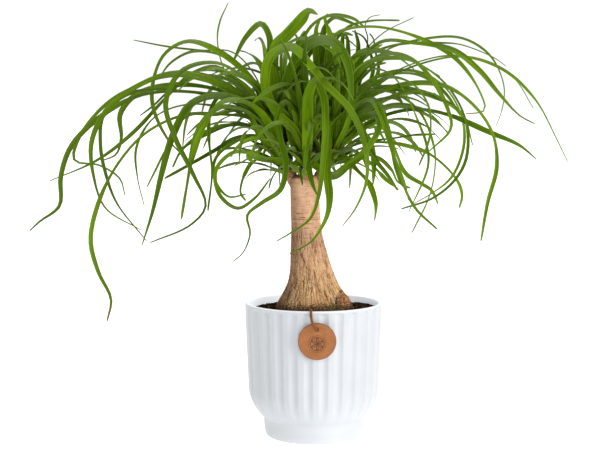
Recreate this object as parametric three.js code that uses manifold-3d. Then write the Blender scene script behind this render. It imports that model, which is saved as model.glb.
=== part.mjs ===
// A ponytail palm in a fluted white pot, in millimetres, +Z up.
// The origin is the middle of the pot's flat underside. The front faces -Y, and +X is to the right.
import * as THREE from "three";
import { mergeVertices } from "three/addons/utils/BufferGeometryUtils.js";
import Module from "manifold-3d";

const wasm = await Module();
wasm.setup();

const GAP = 0.3;
const TURN = 2 * Math.PI;
const { degToRad } = THREE.MathUtils;
const GOLDEN = 0.618;

// Pot: outside radii and heights, the wall, and the flutes that run round it.
const RIM_RADIUS = 75;
const POT_HEIGHT = 147;
const WALL = 5;
const RIM_CHAMFER = 1;
const SHOULDER_RADIUS = 71.2;
const SHOULDER_HEIGHT = 54;
const FOOT_RADIUS = 54.6;
const FOOT_HEIGHT = 21;
const BASE_RADIUS = 49;
const FLOOR_HEIGHT = 14;
const FLUTES = 28;
const FLUTE_DEPTH = 2.2;
const FLUTE_TOP = 145;
const FLUTE_FADE = 2.5;
const RIB_SHARE = 0.4;
const CHANNEL_CUTS = [0, 0.33, 0.67];
const FIRST_RIB = degToRad(-1.1);
const FOOT_EDGE = [53.2, 3.2];
const BODY_HEIGHTS = [27, 35, 44];
const INSIDE_SIDES = 40;
const INSIDE_CURVE = [[44, 14], [50.5, 22], [58, 31], [63.4, 41]];

// Soil: its level at the wall and the low mound that it makes round the trunk.
const SOIL_LEVEL = 138.5;
const SOIL_MOUND = 1.6;
const SOIL_RINGS = [62, 56, 50, 44, 38];
const MOUND_EDGE = 66;
const MOUND_RUN = 20;
const GRAIN_RUN = 4;

// Trunk: rows of height, middle and radius, from the buried base to the rounded top.
const TRUNK_ROWS = [
  [101, 1, 20], [107, 1, 32], [115, 1, 39.5], [126, 1, 43.4], [137, 1, 43.6], [143, 1, 41.6],
  [148, 0.9, 39.2], [153, 0.6, 36.2], [158, -0.1, 33.2], [163, -0.7, 30.3], [168, -1.2, 27.9],
  [174, -1.9, 25.7], [182, -3, 23.4], [191, -4.3, 21.6], [202, -5.6, 20], [214, -6.8, 18],
  [230, -8, 16.2], [249, -9.1, 15.8], [268, -9.6, 15.2], [279, -10.4, 13.2], [284, -11.4, 9.4],
];
const TRUNK_SIDES = 24;
const TRUNK_BOTTOM = 98.5;
const TRUNK_TOP = 286.5;
const LUMP_PLACE = [32, -24, 150];
const LUMP_SIZE = [7.2, 6.6, 9];
const BALL_SIDES = 12;
const BALL_ROWS = 8;

// Tag and thong: a leather disc that leans on the flutes, hung on a thong that comes over the rim.
const TAG_RADIUS = 20;
const TAG_THICKNESS = 2.4;
const TAG_SIDES = 40;
const TAG_HOLE_RADIUS = 1.75;
const TAG_HOLE_RISE = 13;
const TAG_CENTRE = [2.9, -77.3, 116.2];
const TAG_LEAN = degToRad(8);
const THONG_DIAMETER = 2.5;
const THONG_SIDES = 8;
const THONG_STEPS = 24;
const THONG_ROUTE = [
  [-3.5, -67.5, 139], [-3.5, -67.5, 143.6], [-3.5, -68.2, 146.4], [-3.5, -70, 148.2], [-3.5, -72.5, 148.9],
  [-3.5, -75, 148.3], [-3.5, -77, 146.7], [-3.5, -78.9, 144.3], [-3.3, -80.9, 141.7], [-2.7, -82.5, 138.9],
  [-1.7, -83.3, 135.9], [-0.5, -83.5, 133.2], [0.8, -83.4, 131], [2.1, -82.6, 129.5], [2.9, -80.9, 128.9],
  [2.9, -79.1, 129.07], [2.9, -76.6, 129.4],
];
const KNOT_PLACE = [2.9, -76.2, 129.4];
const KNOT_SIZE = [2.6, 1.2, 2.3];

// The three heads that sprout from the top of the trunk: where each one starts and ends, and its radii.
const HEADS = {
  left: { from: [-20, 2, 276], to: [-47, -1, 331], radii: [6.6, 4.6] },
  middle: { from: [-9, -8, 277], to: [-8, -14, 328], radii: [6.6, 4.6] },
  right: { from: [1, 3, 276], to: [32, 6, 326], radii: [6.6, 4.6] },
};
const CORE_SIDES = 10;
const CORE_ROWS = [[0, 1], [0.35, 1], [0.7, 1], [0.92, 0.8], [1, 0.4]];
const CORE_TIP = 1.5;

// A leaf's root sits inside its stem, and a knee lifts the leaf out of the head on its way.
const ROOT_INSET = 0.45;
const CHOSEN_SEATS = [0.3, 0.95];
const KNEE_RISE = 0.1;
const KNEE_ASIDE = 0.3;
const KNEE_DEPTH = 0.4;

// Blade: widths as shares of the widest, shares of the length, and the keel's depth at root and tip.
const ROOT_FOLD = 0.6;
const ROOT_RUN = 0.16;
const TAPER_START = 0.35;
const TAPER_POWER = 0.8;
const TIP_SHARE = 0.09;
const KEEL_DEPTHS = [1.6, 0.75];
const KEEL_ABOVE = 0.25;

// The routes below are places seen from the front, at eye level with the crown.
const VIEW = { x: -15.5, z: 364, distance: 1550 };

// Leaves chosen one by one, by head: the widest width, how far the tip comes forward of the head, how many
// degrees the upper face is turned to the front at the root and at the tip, and places [x, z] on the way.
const CHOSEN_LEAVES = {
  middle: [
    [9.5, 118, 60, 40, [-7, 350], [-6, 374], [2, 389], [11, 372], [13, 340], [10, 299], [5, 261],
      [-4, 238], [-26, 222], [-40, 214]],
    [7.5, 92, 50, 50, [-19, 347], [-31, 364], [-39, 350], [-36, 328], [-30, 300], [-36, 270], [-57, 255],
      [-72, 242], [-69, 222], [-77, 201], [-87, 192]],
    [8, 96, 30, 60, [-38, 352], [-52, 382], [-46, 414], [-24, 423], [-4, 403], [13, 383], [39, 356],
      [55, 318], [57, 281], [46, 251], [31, 230]],
    [6.5, 128, 60, 60, [6, 348], [15, 326], [15, 286], [17, 258], [13, 238], [-3, 213], [-26, 200]],
    [7, 62, 60, 40, [-6, 316], [-5, 292], [-1, 274], [5, 261]],
    [13, 22, 70, 40, [-26, 350], [-41, 388], [-41, 423], [-28, 437], [-12, 456], [-3, 466], [6, 461]],
    [5, 40, 40, 40, [-15, 348], [-32, 384], [-33, 420], [-17, 432], [-1, 431], [13, 424], [25, 413],
      [29, 402]],
    [12, -12, 60, 60, [-4, 352], [4, 392], [10, 428], [12, 448]],
    [11, 30, 65, 50, [2, 345], [14, 378], [17, 412], [13, 434]],
    [10, -30, 60, 60, [-14, 352], [-22, 392], [-18, 426], [-8, 441]],
    [3.5, -60, 30, 30, [-10, 370], [-14, 420], [-2, 446], [18, 457], [42, 454], [54, 445]],
  ],
  left: [
    [10, 30, 50, 40, [-62, 352], [-101, 382], [-145, 395], [-184, 384], [-222, 357], [-240, 322],
      [-238, 283], [-226, 250], [-188, 226]],
    [8, -14, 40, 60, [-72, 360], [-134, 375], [-188, 371], [-229, 350], [-262, 318], [-274, 285],
      [-276, 252], [-298, 235], [-309, 225]],
    [9, 62, 50, 60, [-68, 345], [-101, 351], [-137, 351], [-180, 332], [-211, 299], [-234, 255],
      [-243, 215], [-235, 181], [-221, 150], [-226, 126]],
    [7, -40, 50, 50, [-72, 372], [-105, 401], [-132, 394], [-162, 366], [-195, 332], [-236, 301],
      [-287, 279]],
    [8.5, 48, 60, 60, [-72, 362], [-101, 371], [-132, 362], [-153, 326], [-164, 290], [-175, 246],
      [-187, 209]],
    [7, -22, 50, 50, [-70, 392], [-105, 420], [-136, 429], [-160, 416], [-172, 390], [-174, 362],
      [-160, 328], [-136, 301]],
    [5, -60, 30, 60, [-68, 385], [-98, 413], [-130, 419], [-154, 407], [-167, 390]],
    [4, -36, 30, 30, [-62, 390], [-88, 418], [-122, 420], [-157, 424], [-194, 431]],
    [2.6, -16, 30, 30, [-75, 370], [-97, 400], [-104, 431], [-101, 451], [-92, 471]],
    [9, 6, 70, 60, [-46, 360], [-48, 405], [-49, 436], [-57, 448], [-73, 434], [-87, 408]],
    [8, 66, 40, -40, [-60, 312], [-88, 311], [-107, 291], [-103, 264], [-83, 249], [-64, 260],
      [-47, 282]],
    [7, 34, 40, -30, [-58, 328], [-84, 322], [-106, 303], [-107, 282], [-93, 263], [-74, 265]],
    [6, -26, 30, 50, [-62, 326], [-85, 324], [-110, 310], [-141, 293], [-162, 282]],
    [5, 20, 50, 50, [-56, 306], [-69, 297], [-77, 280], [-79, 266], [-74, 258]],
    [4.5, -44, 60, 60, [-68, 364], [-98, 374], [-112, 355], [-113, 325], [-110, 288], [-115, 247]],
    [6, 24, 60, 60, [-74, 354], [-104, 358], [-121, 336], [-131, 306], [-138, 270], [-144, 238]],
    [6, -12, 40, 60, [-68, 338], [-98, 338], [-124, 327], [-143, 312], [-153, 294]],
    [7, 44, 50, 60, [-66, 382], [-104, 406], [-142, 398], [-160, 364], [-150, 326], [-131, 288],
      [-117, 252], [-134, 231], [-178, 212]],
    [5, -56, 50, 50, [-84, 376], [-150, 392], [-214, 370], [-252, 330], [-259, 302], [-233, 297],
      [-210, 282], [-205, 264]],
    [6.5, -28, 50, 60, [-78, 368], [-142, 383], [-190, 374], [-209, 352], [-210, 322], [-215, 304]],
    [7, 4, 50, 50, [-76, 358], [-140, 376], [-198, 374], [-227, 351], [-231, 318], [-226, 289],
      [-214, 256], [-182, 214]],
    [4, 12, 40, 40, [-78, 352], [-134, 362], [-172, 348], [-192, 316], [-191, 283], [-184, 252]],
  ],
  right: [
    [9, 10, 50, 50, [44, 360], [75, 387], [114, 405], [162, 413], [205, 399], [239, 367], [263, 324],
      [275, 300]],
    [6.5, -34, 50, 50, [42, 380], [75, 418], [123, 433], [160, 433], [190, 414], [205, 381], [203, 356],
      [197, 339]],
    [7, -6, 50, 50, [24, 372], [13, 410], [24, 437], [61, 445], [111, 434], [153, 411], [180, 373],
      [184, 356], [164, 352]],
    [6.5, 40, 50, 50, [38, 388], [71, 428], [110, 427], [150, 420], [178, 399], [200, 373], [222, 350],
      [239, 341]],
    [6, 30, 40, 50, [46, 334], [78, 350], [111, 356], [146, 350], [190, 332], [222, 318], [241, 303]],
    [6, -40, 40, 60, [48, 362], [80, 379], [112, 377], [141, 366], [161, 350], [172, 318]],
    [6.5, 60, 60, 50, [44, 386], [72, 414], [100, 413], [126, 390], [145, 356], [148, 336], [124, 311]],
    [7, 22, 60, 60, [46, 384], [84, 413], [122, 400], [149, 375], [165, 340], [165, 303], [152, 279],
      [128, 260], [95, 249]],
    [5, 50, 40, 60, [52, 366], [100, 384], [140, 382], [172, 361], [193, 330], [198, 294], [189, 256],
      [182, 214]],
    [5, -30, 30, 40, [50, 322], [84, 325], [110, 329], [131, 330]],
    [6, 32, 40, 50, [52, 320], [86, 320], [118, 312], [141, 296], [158, 275], [161, 262], [158, 250]],
    [6.5, 72, 60, 60, [48, 358], [68, 362], [77, 337], [86, 306], [96, 277], [110, 250], [134, 227]],
    [5, 52, 60, 60, [50, 372], [80, 391], [106, 384], [122, 364], [126, 345], [124, 322], [114, 296]],
    [5.5, 34, 60, 60, [54, 358], [90, 371], [116, 352], [130, 316], [131, 292], [125, 262], [107, 223]],
    [4, -64, 40, 40, [24, 382], [22, 424], [36, 444], [60, 451], [92, 452]],
    [3, -84, 30, 30, [38, 372], [52, 414], [74, 438], [107, 455]],
    [5, 22, 40, 50, [50, 308], [72, 303], [84, 291], [91, 278], [104, 272]],
    [3.5, -50, 30, 40, [38, 376], [56, 418], [58, 434], [55, 446], [60, 455], [71, 458]],
    [6.5, -20, 50, 50, [32, 372], [36, 402], [52, 419], [80, 418], [108, 400]],
    [6, 28, 50, 50, [36, 372], [46, 398], [66, 410], [100, 410], [136, 392]],
    [8, 74, 60, 60, [50, 346], [68, 350], [70, 334], [64, 322], [56, 309]],
    [6, 52, 60, 60, [32, 306], [46, 291], [60, 276], [67, 256], [66, 236]],
    [5, 12, 60, 60, [46, 334], [60, 325], [65, 300], [64, 275]],
    [5.5, 18, 60, 60, [42, 312], [60, 299], [75, 284], [92, 270]],
    [6, 92, 60, 60, [44, 358], [60, 366], [72, 346], [82, 320], [90, 298], [98, 278], [103, 258]],
    [11, 38, 70, 60, [38, 358], [41, 386], [35, 410], [24, 425], [8, 430], [-12, 430]],
    [11, 8, 65, 60, [30, 362], [26, 398], [20, 430], [16, 446]],
    [9, -16, 60, 60, [36, 362], [44, 396], [48, 426], [44, 442]],
  ],
};

// Leaves that grow by rule fill the back, the flanks and the middle of each head.
const GROWN_LEAVES = [
  { head: "left", count: 20, facing: 130, swing: 62, longest: 300 },
  { head: "middle", count: 20, facing: 90, swing: 80, longest: 300 },
  { head: "right", count: 20, facing: 50, swing: 62, longest: 300 },
  { head: "left", count: 3, facing: 232, swing: 26, longest: 210 },
  { head: "middle", count: 4, facing: 270, swing: 40, longest: 180 },
  { head: "right", count: 3, facing: 308, swing: 26, longest: 210 },
];
const GROWN_ROUNDS = 20;
const GROWN_SEED = 20417;
const GROWN_TRIES = 120;
const GROWN_POINTS = 9;
const GROWN_RANGES = {
  seat: [0.3, 1], slope: [34, 84], droop: [70, 145], curl: [-35, 35], width: [5.5, 10],
  turnAtRoot: [-25, 25], turnAtTip: [-70, 70],
};
const GROWN_SHORTEST = 150;
const DROOP_POWER = 1.2;
const CROWN = { x: -4, z: 352, halfWidth: 158, halfHeight: 92 };
const LEAF_SHIFTS = [0, 8, -8, 16, -16, 24, -24, 34, -34, 46, -46, 60, -60];
const LEAF_CLEARANCE = 10.5;
const SISTER_CLEARANCE = 7;
const TRUNK_CLEARANCE = 8;
const TEST_STEPS = 36;
const ROOT_SKIP = 4;
const SISTER_SKIP = 6;
const CHOSEN_STEPS = 9;
const GROWN_STEPS = 7;

/** A repeatable random number between 0 and 1, from a 32-bit seed. */
function randomNumbers(seed) {
  let state = seed >>> 0;
  return () => {
    state = (state + 0x6d2b79f5) >>> 0;
    let mixed = Math.imul(state ^ (state >>> 15), 1 | state);
    mixed = (mixed + Math.imul(mixed ^ (mixed >>> 7), 61 | mixed)) ^ mixed;
    return ((mixed ^ (mixed >>> 14)) >>> 0) / 4294967296;
  };
}

function blend(from, to, share) {
  return from + (to - from) * share;
}

function smoothStep(share) {
  const held = Math.min(Math.max(share, 0), 1);
  return held * held * (3 - 2 * held);
}

/** Closed mesh from rings of equal length, bottom to top, each closed by a middle point. */
function closedRings(rings, bottom, top) {
  const sides = rings[0].length;
  const places = rings.flat().concat([bottom, top]);
  const faces = [];
  const low = rings.length * sides;
  const high = low + 1;
  for (let side = 0; side < sides; side += 1) {
    const next = (side + 1) % sides;
    faces.push(low, next, side);
    const last = (rings.length - 1) * sides;
    faces.push(high, last + side, last + next);
    for (let row = 0; row + 1 < rings.length; row += 1) {
      const here = row * sides;
      const above = here + sides;
      faces.push(here + side, here + next, above + next);
      faces.push(here + side, above + next, above + side);
    }
  }
  const geometry = new THREE.BufferGeometry();
  geometry.setAttribute("position", new THREE.Float32BufferAttribute(places.flat(), 3));
  geometry.setIndex(faces);
  return geometry;
}

function toSolid(geometry) {
  const bare = geometry.clone();
  bare.deleteAttribute("normal");
  bare.deleteAttribute("uv");
  const merged = mergeVertices(bare, 1e-4);
  return new wasm.Manifold(new wasm.Mesh({
    numProp: 3,
    vertProperties: new Float32Array(merged.getAttribute("position").array),
    triVerts: new Uint32Array(merged.getIndex().array),
  }));
}

function toGeometry(solid) {
  const mesh = solid.getMesh();
  const geometry = new THREE.BufferGeometry();
  geometry.setAttribute("position", new THREE.Float32BufferAttribute(mesh.vertProperties, 3));
  geometry.setIndex(Array.from(mesh.triVerts));
  return geometry;
}

/** The largest closed shell alone: pockets sealed between leaf roots are filled, loose scraps dropped. */
function outerShell(solid) {
  const shells = solid.decompose();
  return shells.reduce((largest, shell) => (shell.volume() > largest.volume() ? shell : largest));
}

function finishedMesh(name, geometry, material) {
  const flat = geometry.index ? geometry.toNonIndexed() : geometry;
  flat.computeVertexNormals();
  const mesh = new THREE.Mesh(flat, material);
  mesh.name = name;
  return mesh;
}

function finish(colour, roughness) {
  return new THREE.MeshStandardMaterial({ color: colour, roughness, metalness: 0 });
}

/** Outside radius of the pot's body at a height, from the foot's joint to the rim. */
function bodyRadius(height) {
  if (height >= SHOULDER_HEIGHT) {
    return blend(SHOULDER_RADIUS, RIM_RADIUS, (height - SHOULDER_HEIGHT) / (FLUTE_TOP - SHOULDER_HEIGHT));
  }
  const drop = (SHOULDER_HEIGHT - height) / (SHOULDER_HEIGHT - FOOT_HEIGHT);
  return FOOT_RADIUS + (SHOULDER_RADIUS - FOOT_RADIUS) * (1 - drop * drop);
}

function fluteDepth(share, height) {
  if (share <= RIB_SHARE) {
    return 0;
  }
  const across = (share - RIB_SHARE) / (1 - RIB_SHARE);
  const fadeAtTop = smoothStep((FLUTE_TOP - height) / FLUTE_FADE);
  const fadeAtFoot = smoothStep((height - FOOT_HEIGHT) / FLUTE_FADE);
  return FLUTE_DEPTH * Math.sin(Math.PI * across) * fadeAtTop * fadeAtFoot;
}

/** One ring round the pot, with a point at each rib edge and two in each channel. */
function potRing(radius, height, fluted) {
  const shares = [0, ...CHANNEL_CUTS.map((cut) => blend(RIB_SHARE, 1, cut))];
  const ring = [];
  for (let flute = 0; flute < FLUTES; flute += 1) {
    for (const share of shares) {
      const angle = FIRST_RIB + ((flute + share) / FLUTES) * TURN - Math.PI / 2;
      const reach = radius - (fluted ? fluteDepth(share, height) : 0);
      ring.push([reach * Math.cos(angle), reach * Math.sin(angle), height]);
    }
  }
  return ring;
}

function lathe(profile, sides) {
  const points = profile.map(([radius, height]) => new THREE.Vector2(radius, height));
  const geometry = new THREE.LatheGeometry(points, sides);
  geometry.rotateX(Math.PI / 2);
  return toSolid(geometry);
}

/** The hollow of the pot, or the soil in it: the same wall, moved in by a gap. */
function insideProfile(gap, top) {
  const slope = (RIM_RADIUS - SHOULDER_RADIUS) / (FLUTE_TOP - SHOULDER_HEIGHT);
  const radiusAt = (height) => SHOULDER_RADIUS - WALL + slope * (height - SHOULDER_HEIGHT) - gap;
  const curve = INSIDE_CURVE.map(([radius, height], row) => [radius - gap, height + (row === 0 ? gap : 0)]);
  const wall = [[radiusAt(SHOULDER_HEIGHT), SHOULDER_HEIGHT], [radiusAt(top), top]];
  return [[0, FLOOR_HEIGHT + gap], ...curve, ...wall, [0, top]];
}

function potSolid() {
  const rings = [
    potRing(BASE_RADIUS, 0, false), potRing(...FOOT_EDGE, false), potRing(FOOT_RADIUS, FOOT_HEIGHT, false),
  ];
  for (const height of [...BODY_HEIGHTS, SHOULDER_HEIGHT, FLUTE_TOP - FLUTE_FADE]) {
    rings.push(potRing(bodyRadius(height), height, true));
  }
  rings.push(potRing(RIM_RADIUS, FLUTE_TOP, false));
  rings.push(potRing(RIM_RADIUS, POT_HEIGHT - RIM_CHAMFER, false));
  rings.push(potRing(RIM_RADIUS - RIM_CHAMFER, POT_HEIGHT, false));
  const outside = toSolid(closedRings(rings, [0, 0, 0], [0, 0, POT_HEIGHT]));
  const hollow = insideProfile(0, POT_HEIGHT - RIM_CHAMFER);
  const throat = RIM_RADIUS - WALL + RIM_CHAMFER;
  const above = POT_HEIGHT + WALL;
  hollow.splice(-1, 1, [throat, POT_HEIGHT], [throat, above], [0, above]);
  return outside.subtract(lathe(hollow, INSIDE_SIDES));
}

/** Radius of the trunk in one direction: a round stem with shallow swells that widen at the base. */
function trunkRadius(radius, angle, height) {
  const swell = 0.016 * Math.sin(5 * angle + height / 23) + 0.011 * Math.sin(9 * angle - height / 11);
  return radius * (1 + swell);
}

function trunkBody(extra) {
  const rings = TRUNK_ROWS.map(([height, middle, radius]) => {
    const ring = [];
    for (let side = 0; side < TRUNK_SIDES; side += 1) {
      const angle = (side / TRUNK_SIDES) * TURN;
      const reach = trunkRadius(radius, angle, height) + extra;
      ring.push([middle + reach * Math.cos(angle), reach * Math.sin(angle), height]);
    }
    return ring;
  });
  const lowest = [TRUNK_ROWS[0][1], 0, TRUNK_BOTTOM - extra];
  const highest = [TRUNK_ROWS.at(-1)[1], 0, TRUNK_TOP + extra];
  return toSolid(closedRings(rings, lowest, highest));
}

function trunkLump(extra) {
  const lump = new THREE.SphereGeometry(1, BALL_SIDES, BALL_ROWS);
  lump.scale(...LUMP_SIZE.map((size) => size + extra));
  lump.translate(...LUMP_PLACE);
  return toSolid(lump);
}

function trunkSolid(extra) {
  return trunkBody(extra).add(trunkLump(extra));
}

function soilTop(x, y) {
  const radius = Math.hypot(x, y);
  const mound = SOIL_MOUND * smoothStep((MOUND_EDGE - radius) / MOUND_RUN);
  const grain = 0.5 * Math.sin(x / 4.1 + 1) * Math.cos(y / 3.7) + 0.35 * Math.sin((x - y) / 2.9);
  return SOIL_LEVEL + mound + grain * smoothStep((MOUND_EDGE - radius) / GRAIN_RUN);
}

/** The soil fills the pot up to its level, with a low uneven mound and a hole for the trunk. */
function soilSolid() {
  const profile = insideProfile(GAP, SOIL_LEVEL).slice(1, -1);
  const ringAt = (radius, heightAt) => {
    const ring = [];
    for (let side = 0; side < INSIDE_SIDES; side += 1) {
      const angle = (side / INSIDE_SIDES) * TURN;
      const [x, y] = [radius * Math.cos(angle), radius * Math.sin(angle)];
      ring.push([x, y, heightAt(x, y)]);
    }
    return ring;
  };
  const rings = profile.map(([radius, height]) => ringAt(radius, () => height));
  for (const radius of SOIL_RINGS) {
    rings.push(ringAt(radius, soilTop));
  }
  const bottom = [0, 0, FLOOR_HEIGHT + GAP];
  const top = [0, 0, SOIL_LEVEL + SOIL_MOUND];
  return toSolid(closedRings(rings, bottom, top)).subtract(trunkSolid(GAP));
}

function tagSolid() {
  const outline = new THREE.Shape();
  outline.absarc(0, 0, TAG_RADIUS, 0, TURN);
  const hole = new THREE.Path();
  hole.absarc(0, TAG_HOLE_RISE, TAG_HOLE_RADIUS, 0, TURN);
  outline.holes.push(hole);
  const disc = new THREE.ExtrudeGeometry(outline, {
    depth: TAG_THICKNESS, bevelEnabled: false, curveSegments: TAG_SIDES / 2,
  });
  disc.translate(0, 0, -TAG_THICKNESS / 2);
  disc.rotateX(Math.PI / 2 + TAG_LEAN);
  disc.translate(...TAG_CENTRE);
  return disc;
}

function thongSolid() {
  const section = new THREE.Shape();
  section.absarc(0, 0, THONG_DIAMETER / 2, 0, TURN);
  const route = centreLine(THONG_ROUTE.map((place) => new THREE.Vector3(...place)));
  const tube = new THREE.ExtrudeGeometry(section, {
    steps: THONG_STEPS, extrudePath: route, curveSegments: THONG_SIDES / 2,
  });
  const knot = new THREE.SphereGeometry(1, BALL_SIDES, BALL_ROWS);
  knot.scale(...KNOT_SIZE);
  knot.translate(...KNOT_PLACE);
  return toSolid(tube).add(toSolid(knot));
}

/** Moves a place seen from the front, in the plane of the trunk, to its true place at depth y. */
function spread(x, y, z) {
  const scale = (VIEW.distance + y) / VIEW.distance;
  return new THREE.Vector3(VIEW.x + (x - VIEW.x) * scale, y, VIEW.z + (z - VIEW.z) * scale);
}

function headPoint(head, share) {
  return new THREE.Vector3(...head.from).lerp(new THREE.Vector3(...head.to), share);
}

/** The root of a leaf: inside its head's stem, on the side that the leaf grows to. */
function leafRoot(head, seat, heading) {
  const root = headPoint(head, seat);
  const inset = ROOT_INSET * blend(head.radii[0], head.radii[1], seat);
  root.x += inset * Math.cos(heading);
  root.y += inset * Math.sin(heading);
  return root;
}

/** The way of a chosen leaf: out of its head, up through a knee, and on along its places. */
function chosenWay(head, forward, places, seat, order) {
  const first = places[0];
  const middle = places[Math.floor(places.length / 2)];
  const stem = headPoint(head, seat);
  const root = leafRoot(head, seat, Math.atan2(-forward, middle[0] - stem.x));
  const run = Math.hypot(first[0] - root.x, first[1] - root.z);
  const aside = KNEE_ASIDE * run * (((order * GOLDEN * 3) % 1) - 0.5);
  const knee = [
    (root.x + first[0]) / 2 + (aside * (first[1] - root.z)) / run,
    (root.z + first[1]) / 2 - (aside * (first[0] - root.x)) / run + KNEE_RISE * run,
  ];
  const kneeDepth = KNEE_DEPTH * run * (((order * GOLDEN * 5) % 1) - 0.5);
  const flat = [[root.x, root.z], knee, ...places];
  const lengths = [0];
  for (let index = 1; index < flat.length; index += 1) {
    const step = Math.hypot(flat[index][0] - flat[index - 1][0], flat[index][1] - flat[index - 1][1]);
    lengths.push(lengths[index - 1] + step);
  }
  const whole = lengths.at(-1);
  return flat.map(([x, z], index) => {
    const lean = index === 1 ? kneeDepth : 0;
    const depth = root.y + lean - forward * Math.sin((Math.PI / 2) * (lengths[index] / whole));
    return index === 0 ? root : spread(x, depth, z);
  });
}

/** The way of a grown leaf: it leaves its head at a slope and bends down more and more. */
function grownWay(head, draw) {
  const place = leafRoot(head, draw.seat, draw.heading);
  const way = [place.clone()];
  const step = draw.length / (GROWN_POINTS - 1);
  for (let index = 1; index < GROWN_POINTS; index += 1) {
    const share = (index - 0.5) / (GROWN_POINTS - 1);
    const slope = draw.slope - draw.droop * Math.pow(share, DROOP_POWER);
    const heading = draw.heading + draw.curl * share * share;
    place.x += step * Math.cos(slope) * Math.cos(heading);
    place.y += step * Math.cos(slope) * Math.sin(heading);
    place.z += step * Math.sin(slope);
    way.push(place.clone());
  }
  return way;
}

function centreLine(way) {
  return new THREE.CatmullRomCurve3(way, false, "centripetal");
}

/** True if a place is above the trunk, or far enough out from its bark at that height. */
function besideTrunk(place) {
  const above = TRUNK_ROWS.findIndex((row) => row[0] > place.z);
  if (above < 0) {
    return true;
  }
  const low = TRUNK_ROWS[Math.max(above - 1, 0)];
  const high = TRUNK_ROWS[Math.max(above, 1)];
  const share = (place.z - low[0]) / (high[0] - low[0]);
  const reach = Math.hypot(place.x - blend(low[1], high[1], share), place.y);
  return reach > blend(low[2], high[2], share) + TRUNK_CLEARANCE;
}

function clearOfTrunk(samples) {
  return samples.slice(ROOT_SKIP).every(besideTrunk);
}

/** True if every sample past the roots keeps a clearance to every leaf in the list. */
function clearOf(samples, leaves, skip, clearance) {
  const own = samples.slice(skip);
  const limit = clearance * clearance;
  const isFar = (place) => (other) => place.distanceToSquared(other) > limit;
  return leaves.every((leaf) => own.every((place) => leaf.samples.slice(skip).every(isFar(place))));
}

function clearOfOtherHeads(samples, headName, leaves) {
  const others = leaves.filter((leaf) => leaf.headName !== headName);
  return clearOf(samples, others, ROOT_SKIP, LEAF_CLEARANCE);
}

function clearOfSisters(samples, headName, leaves) {
  const sisters = leaves.filter((leaf) => leaf.headName === headName);
  return clearOf(samples, sisters, SISTER_SKIP, SISTER_CLEARANCE);
}

/** True if a leaf keeps inside the outline of the crown, as seen from the front. */
function insideCrown(samples) {
  return samples.every((place) => {
    const scale = VIEW.distance / (VIEW.distance + place.y);
    const across = (VIEW.x + (place.x - VIEW.x) * scale - CROWN.x) / CROWN.halfWidth;
    const up = (VIEW.z + (place.z - VIEW.z) * scale - CROWN.z) / CROWN.halfHeight;
    return across * across + up * up < 1;
  });
}

/** A chosen leaf is shifted back or forward until it is clear, of its sister leaves too if it can be. */
function chosenLeaf(headName, entry, index, leaves) {
  const [width, forward, turnAtRoot, turnAtTip, ...places] = entry;
  const seat = blend(...CHOSEN_SEATS, (index * GOLDEN) % 1);
  let second = null;
  for (const shift of LEAF_SHIFTS) {
    const way = chosenWay(HEADS[headName], forward + shift, places, seat, index);
    const line = centreLine(way);
    const samples = line.getSpacedPoints(TEST_STEPS);
    if (clearOfTrunk(samples) && clearOfOtherHeads(samples, headName, leaves)) {
      const leaf = { headName, width, turnAtRoot, turnAtTip, way, line, samples, steps: CHOSEN_STEPS };
      if (clearOfSisters(samples, headName, leaves)) {
        return leaf;
      }
      second = second ?? leaf;
    }
  }
  return second;
}

/** A grown leaf is drawn again until it is clear of the trunk and of every other leaf. */
function grownLeaf(group, random, leaves) {
  const pick = ([low, high]) => blend(low, high, random());
  for (let attempt = 0; attempt < GROWN_TRIES; attempt += 1) {
    const draw = {
      seat: pick(GROWN_RANGES.seat),
      heading: degToRad(pick([group.facing - group.swing, group.facing + group.swing])),
      slope: degToRad(pick(GROWN_RANGES.slope)),
      droop: degToRad(pick(GROWN_RANGES.droop)),
      curl: degToRad(pick(GROWN_RANGES.curl)),
      length: pick([GROWN_SHORTEST, group.longest]),
      width: pick(GROWN_RANGES.width),
      turnAtRoot: pick(GROWN_RANGES.turnAtRoot),
      turnAtTip: pick(GROWN_RANGES.turnAtTip),
    };
    const way = grownWay(HEADS[group.head], draw);
    const line = centreLine(way);
    const samples = line.getSpacedPoints(TEST_STEPS);
    const free = insideCrown(samples) && clearOfTrunk(samples);
    const clear = free && clearOfOtherHeads(samples, group.head, leaves);
    if (clear && clearOfSisters(samples, group.head, leaves)) {
      return { headName: group.head, ...draw, way, line, samples, steps: GROWN_STEPS };
    }
  }
  return null;
}

function allLeaves() {
  const leaves = [];
  let order = 0;
  for (const [headName, entries] of Object.entries(CHOSEN_LEAVES)) {
    for (const entry of entries) {
      const leaf = chosenLeaf(headName, entry, order, leaves);
      leaves.push(...(leaf ? [leaf] : []));
      order += 1;
    }
  }
  const random = randomNumbers(GROWN_SEED);
  for (let round = 0; round < GROWN_ROUNDS; round += 1) {
    for (const group of GROWN_LEAVES.filter(({ count }) => round < count)) {
      const leaf = grownLeaf(group, random, leaves);
      leaves.push(...(leaf ? [leaf] : []));
    }
  }
  return leaves;
}

/** Share of the widest width along a leaf: a root that is folded in, an even run and a long fine tip. */
function widthShare(share) {
  const fold = ROOT_FOLD * Math.max(0, 1 - share / ROOT_RUN);
  const taper = share < TAPER_START ? 1 : Math.pow((1 - share) / (1 - TAPER_START), TAPER_POWER);
  return Math.max(taper, TIP_SHARE) - fold;
}

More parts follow.
